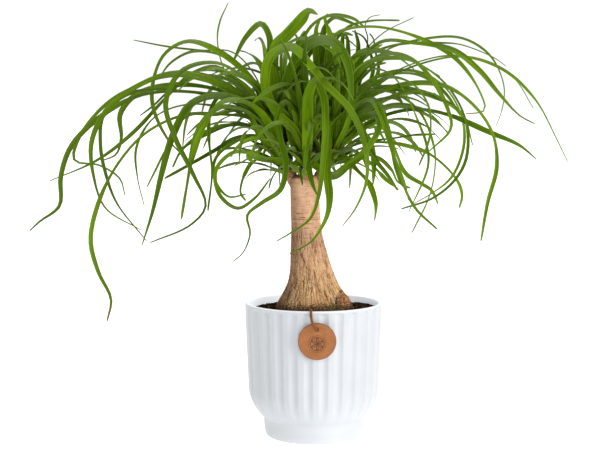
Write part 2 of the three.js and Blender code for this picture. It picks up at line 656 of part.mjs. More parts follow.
/** A leaf blade: three-cornered sections, flat above and keeled below, along the centre line. */
function bladeSolid(leaf) {
  const places = leaf.line.getSpacedPoints(leaf.steps);
  const chord = places.at(-1).clone().sub(places[0]).setZ(0).normalize();
  const side = chord.x >= 0 ? 1 : -1;
  let across = new THREE.Vector3(-chord.y, chord.x, 0);
  const rings = places.map((place, index) => {
    const before = places[Math.max(index - 1, 0)];
    const after = places[Math.min(index + 1, places.length - 1)];
    const along = after.clone().sub(before).normalize();
    across = across.clone().addScaledVector(along, -across.dot(along)).normalize();
    const share = index / leaf.steps;
    const turn = side * degToRad(blend(leaf.turnAtRoot, leaf.turnAtTip, share));
    const wide = across.clone().applyAxisAngle(along, turn);
    const upper = new THREE.Vector3().crossVectors(along, wide);
    const half = (leaf.width * widthShare(share)) / 2;
    const keel = blend(...KEEL_DEPTHS, smoothStep(share));
    const flat = place.clone().addScaledVector(upper, KEEL_ABOVE * keel);
    const corners = [
      flat.clone().addScaledVector(wide, half),
      flat.clone().addScaledVector(wide, -half),
      place.clone().addScaledVector(upper, (KEEL_ABOVE - 1) * keel),
    ];
    return corners.map((corner) => corner.toArray());
  });
  const middleOf = (ring) => [0, 1, 2].map((axis) => (ring[0][axis] + ring[1][axis] + ring[2][axis]) / 3);
  return toSolid(closedRings(rings, middleOf(rings[0]), middleOf(rings.at(-1))));
}

/** The short stem of a head, from inside the trunk to its rounded growing point. */
function headCore(head) {
  const from = new THREE.Vector3(...head.from);
  const to = new THREE.Vector3(...head.to);
  const along = to.clone().sub(from).normalize();
  const across = new THREE.Vector3(0, 1, 0).cross(along).normalize();
  const forward = new THREE.Vector3().crossVectors(along, across);
  const rings = CORE_ROWS.map(([share, scale]) => {
    const middle = from.clone().lerp(to, share);
    const radius = blend(head.radii[0], head.radii[1], share) * scale;
    const ring = [];
    for (let side = 0; side < CORE_SIDES; side += 1) {
      const angle = (side / CORE_SIDES) * TURN;
      const place = middle.clone();
      place.addScaledVector(across, radius * Math.cos(angle));
      place.addScaledVector(forward, radius * Math.sin(angle));
      ring.push(place.toArray());
    }
    return ring;
  });
  return toSolid(closedRings(rings, head.from, to.clone().addScaledVector(along, CORE_TIP).toArray()));
}

function headSolid(name, leaves) {
  const blades = leaves.filter((leaf) => leaf.headName === name).map(bladeSolid);
  const grown = blades.reduce((whole, blade) => whole.add(blade), headCore(HEADS[name]));
  return outerShell(grown.subtract(trunkSolid(GAP)));
}

const leaves = allLeaves();
const plant = new THREE.Group();
plant.name = "potted_ponytail_palm";
plant.add(finishedMesh("pot", toGeometry(potSolid()), finish(0xeef1f4, 0.45)));
plant.add(finishedMesh("soil", toGeometry(soilSolid()), finish(0x38291e, 0.95)));
plant.add(finishedMesh("trunk", toGeometry(trunkSolid(0)), finish(0xb88a5d, 0.85)));
for (const name of Object.keys(HEADS)) {
  plant.add(finishedMesh(`head_${name}`, toGeometry(headSolid(name, leaves)), finish(0x5a9114, 0.5)));
}
plant.add(finishedMesh("tag", tagSolid(), finish(0xbe7f4f, 0.7)));
plant.add(finishedMesh("tag_cord", toGeometry(thongSolid()), finish(0x8a5a34, 0.75)));

export default plant;
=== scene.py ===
# %% [markdown]
# A potted ponytail palm. The plant is a corky trunk with a wide base and three heads of long strap
# leaves. It stands in a white fluted pot, and a round leather tag hangs on a thong over the rim.
#
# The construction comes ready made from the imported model: it gives every size and place. This script
# builds the fine surfaces round it, piece by piece. Sizes are written in millimetres, as a maker would,
# and MM turns them into Blender's metres.

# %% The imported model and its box
import math

import bpy
import numpy as np
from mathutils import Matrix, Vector


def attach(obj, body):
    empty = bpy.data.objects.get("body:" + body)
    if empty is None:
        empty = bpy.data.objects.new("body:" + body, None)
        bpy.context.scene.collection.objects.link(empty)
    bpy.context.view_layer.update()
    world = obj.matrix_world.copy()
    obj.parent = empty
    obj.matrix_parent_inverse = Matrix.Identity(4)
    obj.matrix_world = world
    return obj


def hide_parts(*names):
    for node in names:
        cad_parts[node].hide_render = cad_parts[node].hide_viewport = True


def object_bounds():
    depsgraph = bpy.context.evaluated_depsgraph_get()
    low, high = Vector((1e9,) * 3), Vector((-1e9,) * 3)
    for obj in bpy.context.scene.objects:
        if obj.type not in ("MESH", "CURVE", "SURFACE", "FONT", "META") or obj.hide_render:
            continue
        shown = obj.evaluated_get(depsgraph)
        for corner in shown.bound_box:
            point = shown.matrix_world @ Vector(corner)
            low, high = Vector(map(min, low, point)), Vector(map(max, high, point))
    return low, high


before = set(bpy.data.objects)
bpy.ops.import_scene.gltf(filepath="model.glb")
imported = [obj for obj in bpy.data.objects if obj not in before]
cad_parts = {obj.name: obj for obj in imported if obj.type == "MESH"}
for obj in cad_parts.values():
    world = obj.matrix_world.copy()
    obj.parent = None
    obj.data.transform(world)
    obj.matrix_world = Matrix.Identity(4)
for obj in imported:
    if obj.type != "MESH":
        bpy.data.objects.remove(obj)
cad_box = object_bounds()
MM = 0.001
TURN = 2 * math.pi
SEED = 20417


def box_in_mm(box):
    return [[round(value / MM, 1) for value in corner] for corner in box]


print("frame box in mm:", box_in_mm(cad_box))

# %% [markdown]
# The camera comes first, because everything else is judged through it. A long lens from a metre and a
# half away, just above the crown and tipped five degrees down, flattens the plant the way a catalogue
# picture does. The lens could be shorter and closer, but then the front leaves would loom.

# %% Camera
CAMERA_PLACE = (-15.5, -1550, 364)
CAMERA_TIP_DOWN = math.radians(5.03)
CAMERA_LENS = 85.94
CAMERA_NEAREST = 50


def in_scene(name, data):
    """A new object in the scene, from its data."""
    thing = bpy.data.objects.new(name, data)
    bpy.context.scene.collection.objects.link(thing)
    return thing


def make_camera():
    data = bpy.data.cameras.new("camera")
    data.lens = CAMERA_LENS
    data.clip_start = CAMERA_NEAREST * MM
    camera = in_scene("camera", data)
    camera.location = Vector(CAMERA_PLACE) * MM
    camera.rotation_euler = (math.pi / 2 - CAMERA_TIP_DOWN, 0, 0)
    bpy.context.scene.camera = camera


make_camera()
print("camera at", CAMERA_PLACE, "mm, lens", CAMERA_LENS)

# %% [markdown]
# Node trees are built in Python here, for the shaders and for Geometry Nodes alike. Wiring each node by
# hand is slow to write and hard to read. So one small class, Wire, stands for a socket: adding or
# multiplying two wires adds the Math node that does it. Another class, Tree, adds any other node in one
# call, from its type, its settings and the values of its sockets.

# %% Wires and trees
class Wire:
    """The output socket of a node. Python's operators on it add Math nodes to its tree."""

    def __init__(self, tree, socket):
        self.tree = tree
        self.socket = socket

    def __abs__(self):
        return self.tree.math("ABSOLUTE", self)

    def output(self, key):
        """Another output of the same node."""
        return Wire(self.tree, find_socket(self.socket.node.outputs, key))


OPERATORS = {"add": "ADD", "sub": "SUBTRACT", "mul": "MULTIPLY", "truediv": "DIVIDE", "pow": "POWER"}


def add_operator(name, operation):
    """Gives Wire one of Python's operators, with the wire on the left of it or on the right."""
    setattr(Wire, f"__{name}__", lambda wire, other: wire.tree.math(operation, wire, other))
    setattr(Wire, f"__r{name}__", lambda wire, other: wire.tree.math(operation, other, wire))


for name, operation in OPERATORS.items():
    add_operator(name, operation)


def find_socket(sockets, key):
    """A node's socket by its place in the list, or the one in use with that name or identifier."""
    if isinstance(key, int):
        return sockets[key]
    in_use = (socket for socket in sockets if socket.enabled)
    return next(socket for socket in in_use if key in (socket.name, socket.identifier))


class Tree:
    """A node tree that is built by calls."""

    def __init__(self, tree):
        self.tree = tree

    def make(self, kind, settings=None, sockets=None, output=0):
        """Adds a node, sets it up, joins its sockets and returns one of its outputs."""
        node = self.tree.nodes.new(kind)
        for name, value in (settings or {}).items():
            setattr(node, name, value)
        for key, value in (sockets or {}).items():
            self.feed(find_socket(node.inputs, key), value)
        if not node.outputs:
            return node
        return Wire(self, find_socket(node.outputs, output))

    def feed(self, socket, value):
        """Joins a wire to a socket, or sets the socket's own value."""
        if isinstance(value, Wire):
            self.tree.links.new(value.socket, socket)
        elif isinstance(value, tuple) and len(value) == 3 and socket.type == "RGBA":
            socket.default_value = (*value, 1)
        else:
            socket.default_value = value

    def math(self, operation, *values):
        return self.make("ShaderNodeMath", {"operation": operation}, dict(enumerate(values)))

    def between(self, value, low, high, start=0.0, end=1.0):
        """A smooth step from start to end, while value goes from low to high."""
        limits = {"Value": value, "From Min": low, "From Max": high, "To Min": start, "To Max": end}
        return self.make("ShaderNodeMapRange", {"interpolation_type": "SMOOTHSTEP"}, limits)

    def vector(self, operation, *values):
        return self.make("ShaderNodeVectorMath", {"operation": operation}, dict(enumerate(values)))

    def scaled(self, vector, sizes):
        """A vector times a size on each axis."""
        return self.vector("MULTIPLY", vector, sizes)

    def sized(self, vector, size):
        """A vector times one number."""
        return self.make("ShaderNodeVectorMath", {"operation": "SCALE"}, {"Vector": vector, "Scale": size})

    def in_mm(self, point):
        return self.scaled(point, (1 / MM,) * 3)

    def parts(self, vector):
        """The x, y and z of a vector."""
        first = self.make("ShaderNodeSeparateXYZ", sockets={"Vector": vector}, output="X")
        return first, first.output("Y"), first.output("Z")

    def join(self, x, y, z):
        return self.make("ShaderNodeCombineXYZ", sockets={"X": x, "Y": y, "Z": z})

    def noise(self, vector, scale, detail=2.0, roughness=0.5, distortion=0.0):
        sockets = {"Vector": vector, "Scale": scale, "Detail": detail, "Roughness": roughness}
        return self.make("ShaderNodeTexNoise", sockets={**sockets, "Distortion": distortion})

    def cells(self, vector, scale, feature="F1"):
        return self.make("ShaderNodeTexVoronoi", {"feature": feature}, {"Vector": vector, "Scale": scale})

    def mix(self, share, first, second, blend="MIX"):
        """Two colours, mixed by a share: 0 gives the first and 1 the second."""
        settings = {"data_type": "RGBA", "blend_type": blend}
        sockets = {"Factor": share, "A": first, "B": second}
        return self.make("ShaderNodeMix", settings, sockets, "Result")

    def shade(self, value, low, high, first, second):
        """A colour that goes from the first to the second, while value goes from low to high."""
        return self.mix(self.between(value, low, high), first, second)


class Finish(Tree):
    """A material of one Principled surface. What is the same everywhere is set on its own sockets."""

    def __init__(self, name, **constants):
        self.material = bpy.data.materials.new(name)
        self.material.use_nodes = True
        super().__init__(self.material.node_tree)
        self.surface = self.tree.nodes["Principled BSDF"]
        self.colour = (1, 1, 1)
        for key, value in constants.items():
            self.feed(self.surface.inputs[key.replace("_", " ")], value)

    def place(self):
        """The point on the surface, in millimetres."""
        return self.in_mm(self.make("ShaderNodeTexCoord", output="Object"))

    def read(self, name):
        """A number that is stored on the mesh."""
        return self.make("ShaderNodeAttribute", {"attribute_name": name}, output="Fac")

    def paint(self, share, colour, blend="MIX"):
        """Lays a colour over the colour so far, by a share."""
        self.colour = self.mix(share, self.colour, colour, blend)

    def wear(self, key, value):
        """Feeds one socket of the surface."""
        self.feed(self.surface.inputs[key], value)

    def done(self, height, depth):
        """The material, with its colour and fine relief: height is from 0 to 1, depth in millimetres."""
        self.wear("Base Color", self.colour)
        sockets = {"Height": height, "Distance": depth * MM, "Strength": 1.0}
        self.wear("Normal", self.make("ShaderNodeBump", sockets=sockets))
        return self.material


print("two kinds of tree: materials, and Geometry Nodes")

# %% [markdown]
# A Geometry Nodes tree works on a plain mesh, or on a few points, and makes the piece from it. Here each
# tree gets named inputs for its sizes. The result is then kept as a plain mesh, and the modifier goes, so
# that the piece is finished before it joins the model.

# %% Helpers for meshes and Geometry Nodes
class Shaper(Tree):
    """A Geometry Nodes tree with named inputs. It starts from the object's own geometry."""

    def __init__(self, name, **inputs):
        group = bpy.data.node_groups.new(name, "GeometryNodeTree")
        for way in ("INPUT", "OUTPUT"):
            group.interface.new_socket(name="Geometry", in_out=way, socket_type="NodeSocketGeometry")
        for label, value in inputs.items():
            kind = "NodeSocketInt" if isinstance(value, int) else "NodeSocketFloat"
            group.interface.new_socket(name=label, in_out="INPUT", socket_type=kind)
        super().__init__(group)
        self.values = inputs
        self.start = self.make("NodeGroupInput", output="Geometry")

    def given(self, name):
        return self.start.output(name)

    def position(self):
        """The place of each point, in millimetres."""
        return self.in_mm(self.make("GeometryNodeInputPosition"))

    def stored(self, name, kind="FLOAT"):
        """A value that the geometry carries under a name."""
        sockets = {"Name": name}
        return self.make("GeometryNodeInputNamedAttribute", {"data_type": kind}, sockets, "Attribute")

    def store(self, geometry, name, value):
        sockets = {"Geometry": geometry, "Name": name, "Value": value}
        return self.make("GeometryNodeStoreNamedAttribute", {"data_type": "FLOAT"}, sockets)

    def move(self, geometry, offset):
        return self.make("GeometryNodeSetPosition", sockets={"Geometry": geometry, "Offset": offset})

    def random(self, low, high, seed):
        sockets = {"Min": low, "Max": high, "Seed": seed}
        return self.make("FunctionNodeRandomValue", {"data_type": "FLOAT"}, sockets, "Value")

    def end(self, geometry, material):
        """Smooth shading, real geometry in place of instances, and the material."""
        smooth = self.make("GeometryNodeSetShadeSmooth", sockets={"Geometry": geometry})
        real = self.make("GeometryNodeRealizeInstances", sockets={"Geometry": smooth})
        done = self.make("GeometryNodeSetMaterial", sockets={"Geometry": real, "Material": material})
        self.make("NodeGroupOutput", sockets={"Geometry": done})

    def run(self, piece):
        """Runs the tree on a piece and keeps the result as its plain mesh."""
        modifier = piece.modifiers.new(self.tree.name, "NODES")
        modifier.node_group = self.tree
        for item in self.tree.interface.items_tree:
            if item.in_out == "INPUT" and item.name in self.values:
                modifier[item.identifier] = self.values[item.name]
        return keep_result(piece)


def keep_result(piece):
    """What a piece's modifiers make of it becomes its plain mesh."""
    bpy.context.view_layer.update()
    evaluated = piece.evaluated_get(bpy.context.evaluated_depsgraph_get())
    piece.data = bpy.data.meshes.new_from_object(evaluated)
    piece.modifiers.clear()
    return piece


def new_piece(name, points, faces=(), edges=(), material=None, numbers=None):
    """A mesh object from places in millimetres, with smooth faces and numbers stored on its points."""
    mesh = bpy.data.meshes.new(name)
    mesh.from_pydata((np.asarray(points, float) * MM).tolist(), edges, faces)
    for key, values in (numbers or {}).items():
        values = np.asarray(values, float)
        kind = "FLOAT_VECTOR" if values.ndim == 2 else "FLOAT"
        slot = "vector" if values.ndim == 2 else "value"
        mesh.attributes.new(key, kind, "POINT").data.foreach_set(slot, values.ravel())
    mesh.shade_smooth()
    if material:
        mesh.materials.append(material)
    return in_scene(name, mesh)


def loft(rings):
    """Points and faces of a skin over rings of equal length, each end closed by a point in its middle."""
    rings = np.asarray(rings, float)
    rows, sides = rings.shape[:2]
    row_starts = np.arange(rows - 1)[:, None] * sides
    here = row_starts + np.arange(sides)
    beside = row_starts + (np.arange(sides) + 1) % sides
    faces = np.stack([here, beside, beside + sides, here + sides], -1).reshape(-1, 4).tolist()
    points = np.vstack([rings.reshape(-1, 3), rings[0].mean(axis=0), rings[-1].mean(axis=0)])
    first, last = rows * sides, rows * sides + 1
    top = (rows - 1) * sides
    for side in range(sides):
        after = (side + 1) % sides
        faces.append([first, after, side])
        faces.append([last, top + side, top + after])
    return points, faces


def ended(values):
    """Numbers for the rings of a loft, and 0 for the two points that close its ends."""
    return np.append(values, [0.0, 0.0])


def even_angles(count, start=0.0):
    """Angles at even steps round a full turn."""
    return start + np.linspace(0, TURN, count, endpoint=False)


def round_a_line(places, across, up, radius, angle):
    """Rings round a line: at each place and angle, a point at a radius from the line."""
    ring = np.cos(angle)[..., None] * across[:, None] + np.sin(angle)[..., None] * up[:, None]
    return places[:, None] + radius[..., None] * ring


def finish_piece(piece, slot, *nodes):
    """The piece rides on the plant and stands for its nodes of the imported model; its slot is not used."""
    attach(piece, "root")
    if nodes:
        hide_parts(*nodes)
    triangles = sum(len(face.vertices) - 2 for face in piece.data.polygons)
    print(f"{piece.name}: {triangles} triangles")
    return piece


def blend(start, end, share):
    return start + (end - start) * share


def smooth_step(share):
    held = np.clip(share, 0, 1)
    return held * held * (3 - 2 * held)


# %% [markdown]
# Leaves, the thong and the trunk all follow smooth lines through a few chosen points. A Bezier curve
# would need handles. A centripetal Catmull-Rom curve passes through every point without loops or
# overshoot, and its length can be measured, so points can be spread evenly along it.

# %% Smooth routes
class Route:
    """A smooth curve through points, measured along its length."""

    STEPS = 200

    def __init__(self, points):
        points = np.asarray(points, float)
        before = 2 * points[0] - points[1]
        after = 2 * points[-1] - points[-2]
        self.points = np.vstack([before, points, after])
        self.shares = np.linspace(0, 1, self.STEPS + 1)
        steps = np.linalg.norm(np.diff(self.at(self.shares), axis=0), axis=1)
        self.lengths = np.concatenate([[0], np.cumsum(steps)])
        self.length = self.lengths[-1]

    def at(self, shares):
        """Places at shares of the way, from 0 to 1, counted in points and not by length."""
        count = len(self.points) - 3
        along = np.asarray(shares) * count
        index = np.minimum(along.astype(int), count - 1)
        way = (along - index)[:, None]
        p0, p1, p2, p3 = (self.points[index + step] for step in range(4))
        spans = ((p0, p1), (p1, p2), (p2, p3))
        gaps = [np.sum((b - a) ** 2, axis=1, keepdims=True) ** 0.25 for a, b in spans]
        leave = (p1 - p0) / gaps[0] - (p2 - p0) / (gaps[0] + gaps[1]) + (p2 - p1) / gaps[1]
        arrive = (p2 - p1) / gaps[1] - (p3 - p1) / (gaps[1] + gaps[2]) + (p3 - p2) / gaps[2]
        leave, arrive = leave * gaps[1], arrive * gaps[1]
        square = 3 * (p2 - p1) - 2 * leave - arrive
        cube = 2 * (p1 - p2) + leave + arrive
        return p1 + way * (leave + way * (square + way * cube))

    def spaced(self, steps):
        """Places at even distances along the curve."""
        wanted = np.linspace(0, self.length, steps + 1)
        return self.at(np.interp(wanted, self.lengths, self.shares))


def directions(places):
    """The unit direction of a line at each of its points."""
    before = places[np.maximum(np.arange(len(places)) - 1, 0)]
    after = places[np.minimum(np.arange(len(places)) + 1, len(places) - 1)]
    along = after - before
    return along / np.linalg.norm(along, axis=1, keepdims=True)


def carried(along, start):
    """A unit vector at right angles to a line, carried along it from a start direction without twisting."""
    across = np.zeros_like(along)
    current = np.asarray(start, float)
    for index, direction in enumerate(along):
        current = current - direction * np.dot(current, direction)
        current = current / np.linalg.norm(current)
        across[index] = current
    return across


print("routes pass through every chosen point")

# %% [markdown]
# The thong is a limp leather cord, 2.5 mm thick. It comes up out of the soil, bends over the rim, drops
# to the tag and goes in through the tag's hole to a knot behind it. The photo shows it all but the knot.
# Cut lacing is never quite round or even. So the section here is a rounded square that twists slowly on
# its way, and the thong is a little thicker midway.

# %% Thong
THONG_DIAMETER = 2.5
THONG_ROUTE = [
    (-3.5, -67.5, 139), (-3.5, -67.5, 143.6), (-3.5, -68.2, 146.4), (-3.5, -70, 148.2),
    (-3.5, -72.5, 148.9), (-3.5, -75, 148.3), (-3.5, -77, 146.7), (-3.5, -78.9, 144.3),
    (-3.3, -80.9, 141.7), (-2.7, -82.5, 138.9), (-1.7, -83.3, 135.9), (-0.5, -83.5, 133.2),
    (0.8, -83.4, 131), (2.1, -82.6, 129.5), (2.9, -80.9, 128.9), (2.9, -79.1, 129.07), (2.9, -76.6, 129.4),
]
THONG_TWISTS = 1.5
THONG_SQUARENESS = 0.07
THONG_SWELL = 0.13
SWELL_MIDDLE = 0.52
SWELL_REACH = 0.2
THONG_STEPS = 150
THONG_SIDES = 24
CORD_SIDE = (1, 0, 0.2)


def cord_skin(places, diameter, twists, squareness, sides, swell=0.0):
    """A cord along a line: rings of a rounded square section that turns on its way, and swells midway."""
    along = directions(places)
    across = carried(along, CORD_SIDE)
    share = np.linspace(0, 1, len(places))[:, None]
    angle = even_angles(sides)[None, :]
    radius = diameter / 2 * (1 + squareness * np.cos(4 * (angle - TURN * twists * share)))
    radius = radius * (1 + swell * np.exp(-(((share - SWELL_MIDDLE) / SWELL_REACH) ** 4)))
    return round_a_line(places, across, np.cross(along, across), radius, angle)


def thong_finish():
    """Brown vegetable leather: a fine grain along the cord, darker in its creases."""
    look = Finish("thong_leather", Roughness=0.7, Specular_IOR_Level=0.15)
    place = look.place()
    fine = look.noise(place, 2.6, 4.0, 0.6)
    broad = look.noise(place, 0.5, 2.0)
    look.colour = look.shade(fine, 0.35, 0.7, (0.1, 0.034, 0.01), (0.31, 0.125, 0.04))
    look.paint(look.between(broad, 0.4, 0.65), (0.2, 0.075, 0.022))
    return look.done(fine, 0.25)


thong_line = Route(THONG_ROUTE)
thong_places = thong_line.spaced(THONG_STEPS)
thong_material = thong_finish()
thong_rings = cord_skin(
    thong_places, THONG_DIAMETER, THONG_TWISTS, THONG_SQUARENESS, THONG_SIDES, THONG_SWELL,
)
thong = new_piece("thong", *loft(thong_rings), material=thong_material)
finish_piece(thong, "thong", "tag_cord")
print(f"thong: {thong_line.length:.1f} mm long")

# %% [markdown]
# The knot sits behind the tag, pressed flat between it and the pot. A knot is one cord that passes round
# itself. Modelled as a curve it would cut through itself where it is pulled tight. So the crossed tube is
# remeshed into one skin, with creases where the turns meet.

# %% Knot
KNOT_PLACE = (2.9, -76.2, 129.4)
KNOT_REACH = (1.7, 0.38, 1.45)
KNOT_CORD = 1.7
KNOT_STEPS = 96
KNOT_TWISTS = 2
KNOT_SQUARENESS = 0.04
KNOT_SIDES = 12
KNOT_VOXEL = 0.14


def make_knot():
    """A cord along a trefoil, which is the plainest knot there is, remeshed into one skin."""
    way = np.linspace(0, TURN, KNOT_STEPS + 1)
    trefoil = [np.sin(way) + 2 * np.sin(2 * way), -3 * np.sin(3 * way), np.cos(way) - 2 * np.cos(2 * way)]
    line = np.stack(trefoil, axis=1) / 3 * KNOT_REACH + KNOT_PLACE
    piece = new_piece("knot", *loft(cord_skin(line, KNOT_CORD, KNOT_TWISTS, KNOT_SQUARENESS, KNOT_SIDES)))
    modifier = piece.modifiers.new("one_skin", "REMESH")
    modifier.mode = "VOXEL"
    modifier.voxel_size = KNOT_VOXEL * MM
    modifier.use_smooth_shade = True
    keep_result(piece)
    piece.data.materials.append(thong_material)
    return piece


knot = finish_piece(make_knot(), "thong")

# %% [markdown]
# The tag is a disc of vegetable-tanned leather, 40 mm across, with a burnished edge and one punched hole.
# Leather takes a stamp: the pattern here is a plain six-petal rosette in a ring of dots, pressed a third
# of a millimetre deep. A bump map could fake that, but real relief catches the light from the side too.
# So the face is a fine net of triangles round the hole, and a height formula presses the lines into it.

# %% Tag: the pattern as a height formula
TAG_RADIUS = 20
TAG_THICKNESS = 2.4
TAG_HOLE_RADIUS = 1.75
TAG_HOLE_RISE = 13
TAG_CENTRE = (2.9, -77.3, 116.2)
TAG_LEAN = math.radians(8)
TAG_EDGE = 0.55
ROSETTE_RADIUS = 7.2
ROSETTE_DROP = 2.4
PETALS = 6
DOT_RING = 9.2
DOT_RADIUS = 0.12
DOTS = 30
LINE_WIDTH = 0.7
PRESS_DEPTH = 0.34


def pressed_share(places):
    """How far a point of the face is pressed in, from 0 to 1: petal outlines, a ring and dots."""
    x = places[:, 0]
    y = places[:, 1] + ROSETTE_DROP
    reach = np.hypot(x, y)
    distance = np.abs(reach - ROSETTE_RADIUS)
    for petal in range(PETALS):
        angle = petal * TURN / PETALS + TURN / (2 * PETALS)
        middle = ROSETTE_RADIUS * np.array([math.cos(angle), math.sin(angle)])
        arc = np.abs(np.hypot(x - middle[0], y - middle[1]) - ROSETTE_RADIUS)
        distance = np.minimum(distance, np.where(reach < ROSETTE_RADIUS, arc, np.inf))
    spoke = np.round(np.arctan2(y, x) / TURN * DOTS) / DOTS * TURN
    dot = np.hypot(x - DOT_RING * np.cos(spoke), y - DOT_RING * np.sin(spoke)) - DOT_RADIUS
    distance = np.minimum(distance, dot)
    return 1 - smooth_step(distance / LINE_WIDTH)


# %% Tag: the leather disc
from mathutils.geometry import delaunay_2d_cdt

RIM_POINTS = 180
HOLE_POINTS = 36
FINE_STEP = 0.27
COARSE_STEP = 0.8
FINE_REACH = 11
RIM_MARGIN = 0.3
HOLE_MARGIN = 0.6
SAME_POINT = 1e-5
EDGE_DROP = 0.1
DOME_START = 14
EDGE_STEPS = 8
LEVEL = 1e-6
DARK_RIM = 0.9
DARK_RIM_FADE = 0.8
DARK_HOLE = 0.5


def circle(radius, count, middle=(0, 0), start=0.0):
    angles = even_angles(count, start)
    return np.stack([middle[0] + radius * np.cos(angles), middle[1] + radius * np.sin(angles)], axis=1)


def from_hole(points):
    """How far points of the tag are from the middle of its hole."""
    return np.hypot(points[:, 0], points[:, 1] - TAG_HOLE_RISE)


def face_net():
    """A flat net of triangles between the tag's edge and its hole, fine where the pattern is pressed."""
    edge = circle(TAG_RADIUS - TAG_EDGE, RIM_POINTS)
    hole = circle(TAG_HOLE_RADIUS + TAG_EDGE / 2, HOLE_POINTS, (0, TAG_HOLE_RISE))
    inner = [np.array([[0.0, -ROSETTE_DROP]])]
    radius = FINE_STEP
    while radius < TAG_RADIUS + ROSETTE_DROP:
        step = FINE_STEP if radius < FINE_REACH else COARSE_STEP
        inner.append(circle(radius, max(6, round(TURN * radius / step)), (0, -ROSETTE_DROP), radius))
        radius += step
    inner = np.vstack(inner)
    inside = np.hypot(*inner.T) < TAG_RADIUS - TAG_EDGE - RIM_MARGIN
    off_hole = from_hole(inner) > TAG_HOLE_RADIUS + HOLE_MARGIN
    points = np.vstack([edge, hole, inner[inside & off_hole]])
    loops = [(k, (k + 1) % RIM_POINTS) for k in range(RIM_POINTS)]
    loops += [(RIM_POINTS + k, RIM_POINTS + (k + 1) % HOLE_POINTS) for k in range(HOLE_POINTS)]
    found = delaunay_2d_cdt([Vector(point) for point in points], loops, [], 0, SAME_POINT)
    places = np.array([tuple(point) for point in found[0]])
    faces = [list(face) for face in found[2]]
    middles = np.array([places[face].mean(axis=0) for face in faces])
    return places, [face for face, away in zip(faces, from_hole(middles)) if away > TAG_HOLE_RADIUS]


def tag_mesh():
    """Front and back nets, joined by rounded walls at the edge and in the hole."""
    net, faces = face_net()
    count = len(net)
    half = TAG_THICKNESS / 2
    press = pressed_share(net)
    dome = EDGE_DROP * smooth_step(1 - (np.hypot(*net.T) - DOME_START) / (TAG_RADIUS - DOME_START))
    front = np.column_stack([net, half - EDGE_DROP + dome - PRESS_DEPTH * press])
    back = np.column_stack([net, -half + EDGE_DROP - dome])
    points, pressed = [front, back], [press, np.zeros(count)]
    faces = faces + [[a + count, c + count, b + count] for a, b, c in faces]
    total = 2 * count
    for first, sides, middle, radius, out in (
        (0, RIM_POINTS, (0, 0), TAG_RADIUS, 1),
        (RIM_POINTS, HOLE_POINTS, (0, TAG_HOLE_RISE), TAG_HOLE_RADIUS, -1),
    ):
        rows = []
        soft = TAG_EDGE if out > 0 else TAG_EDGE / 2
        for turn in np.linspace(0, math.pi, EDGE_STEPS + 1)[1:-1]:
            reach = radius - out * soft * (1 - math.sin(turn))
            rise = math.cos(turn)
            height = math.copysign(half - EDGE_DROP - soft * (1 - abs(rise)), rise)
            height = 0.0 if abs(rise) < LEVEL else height
            ring = circle(reach, sides, middle)
            points.append(np.column_stack([ring, np.full(sides, height)]))
            pressed.append(np.zeros(sides))
            rows.append(list(range(total, total + sides)))
            total += sides
        front_row = list(range(first, first + sides))
        rows = [front_row, *rows, [count + point for point in front_row]]
        for upper, lower in zip(rows, rows[1:]):
            for side in range(sides):
                after = (side + 1) % sides
                quad = [upper[side], lower[side], lower[after], upper[after]]
                faces.append(quad if out > 0 else quad[::-1])
    return np.vstack(points), faces, np.concatenate(pressed)


def tag_finish():
    """Tan leather: a fine pebble grain, soft cloudy dye, and darker tool marks and edges."""
    look = Finish("tag_leather", Roughness=0.58, Specular_IOR_Level=0.4)
    place = look.place()
    cloud = look.noise(place, 0.12, 3.0)
    grain = look.cells(place, 1.6, "DISTANCE_TO_EDGE")
    fleck = look.noise(place, 2.2, 3.0, 0.7)
    look.colour = look.shade(cloud, 0.35, 0.68, (0.3, 0.102, 0.023), (0.35, 0.128, 0.033))
    look.paint(look.between(fleck, 0.62, 0.78, 0, 0.5), (0.72, 0.4, 0.2))
    look.paint(look.between(fleck, 0.4, 0.28, 0, 0.45), (0.24, 0.09, 0.035))
    pressed = look.read("pressed")
    look.paint(look.between(pressed, 0.1, 0.7, 0, 0.92), (0.06, 0.02, 0.01))
    edge = look.read("edge")
    look.paint(edge * 0.75, (0.17, 0.065, 0.026))
    return look.done(look.between(grain, 0, 0.12) * 0.6 + fleck * 0.4, 0.09)


def make_tag():
    local, faces, pressed = tag_mesh()
    up = np.array([0, -math.sin(TAG_LEAN), math.cos(TAG_LEAN)])
    out = np.array([0, -math.cos(TAG_LEAN), -math.sin(TAG_LEAN)])
    points = TAG_CENTRE + local[:, :1] * [1, 0, 0] + local[:, 1:2] * up + local[:, 2:] * out
    at_rim = smooth_step((np.hypot(local[:, 0], local[:, 1]) - TAG_RADIUS + DARK_RIM) / DARK_RIM_FADE)
    at_hole = smooth_step((TAG_HOLE_RADIUS + DARK_HOLE - from_hole(local)) / DARK_HOLE)
    numbers = {"pressed": pressed, "edge": np.maximum(at_rim, at_hole)}
    return new_piece("tag", points, faces, material=tag_finish(), numbers=numbers)


tag = finish_piece(make_tag(), "leather", "tag")

# %% [markdown]
# The thong's places along its line, in metres.

# %% The thong's facts
(thong_places * MM).tolist()

# %% [markdown]
# The pot is slip-cast ceramic under a white satin glaze. Its body is round with 28 shallow channels
# pressed between soft ribs, a plain lip and a smooth foot. Modelling the channels one by one would be
# slow and uneven. So a plain round pot is turned first, and a Geometry Nodes tree presses the channels
# into it by a rule: each point's angle says how far across a channel it is, and its height fades the
# channel out at the lip and the foot. In the photo light bounces about inside the pot, which the studio
# here can't quite give. So the glaze inside is lighter and glows very slightly, and the side towards the
# light is a little darker.

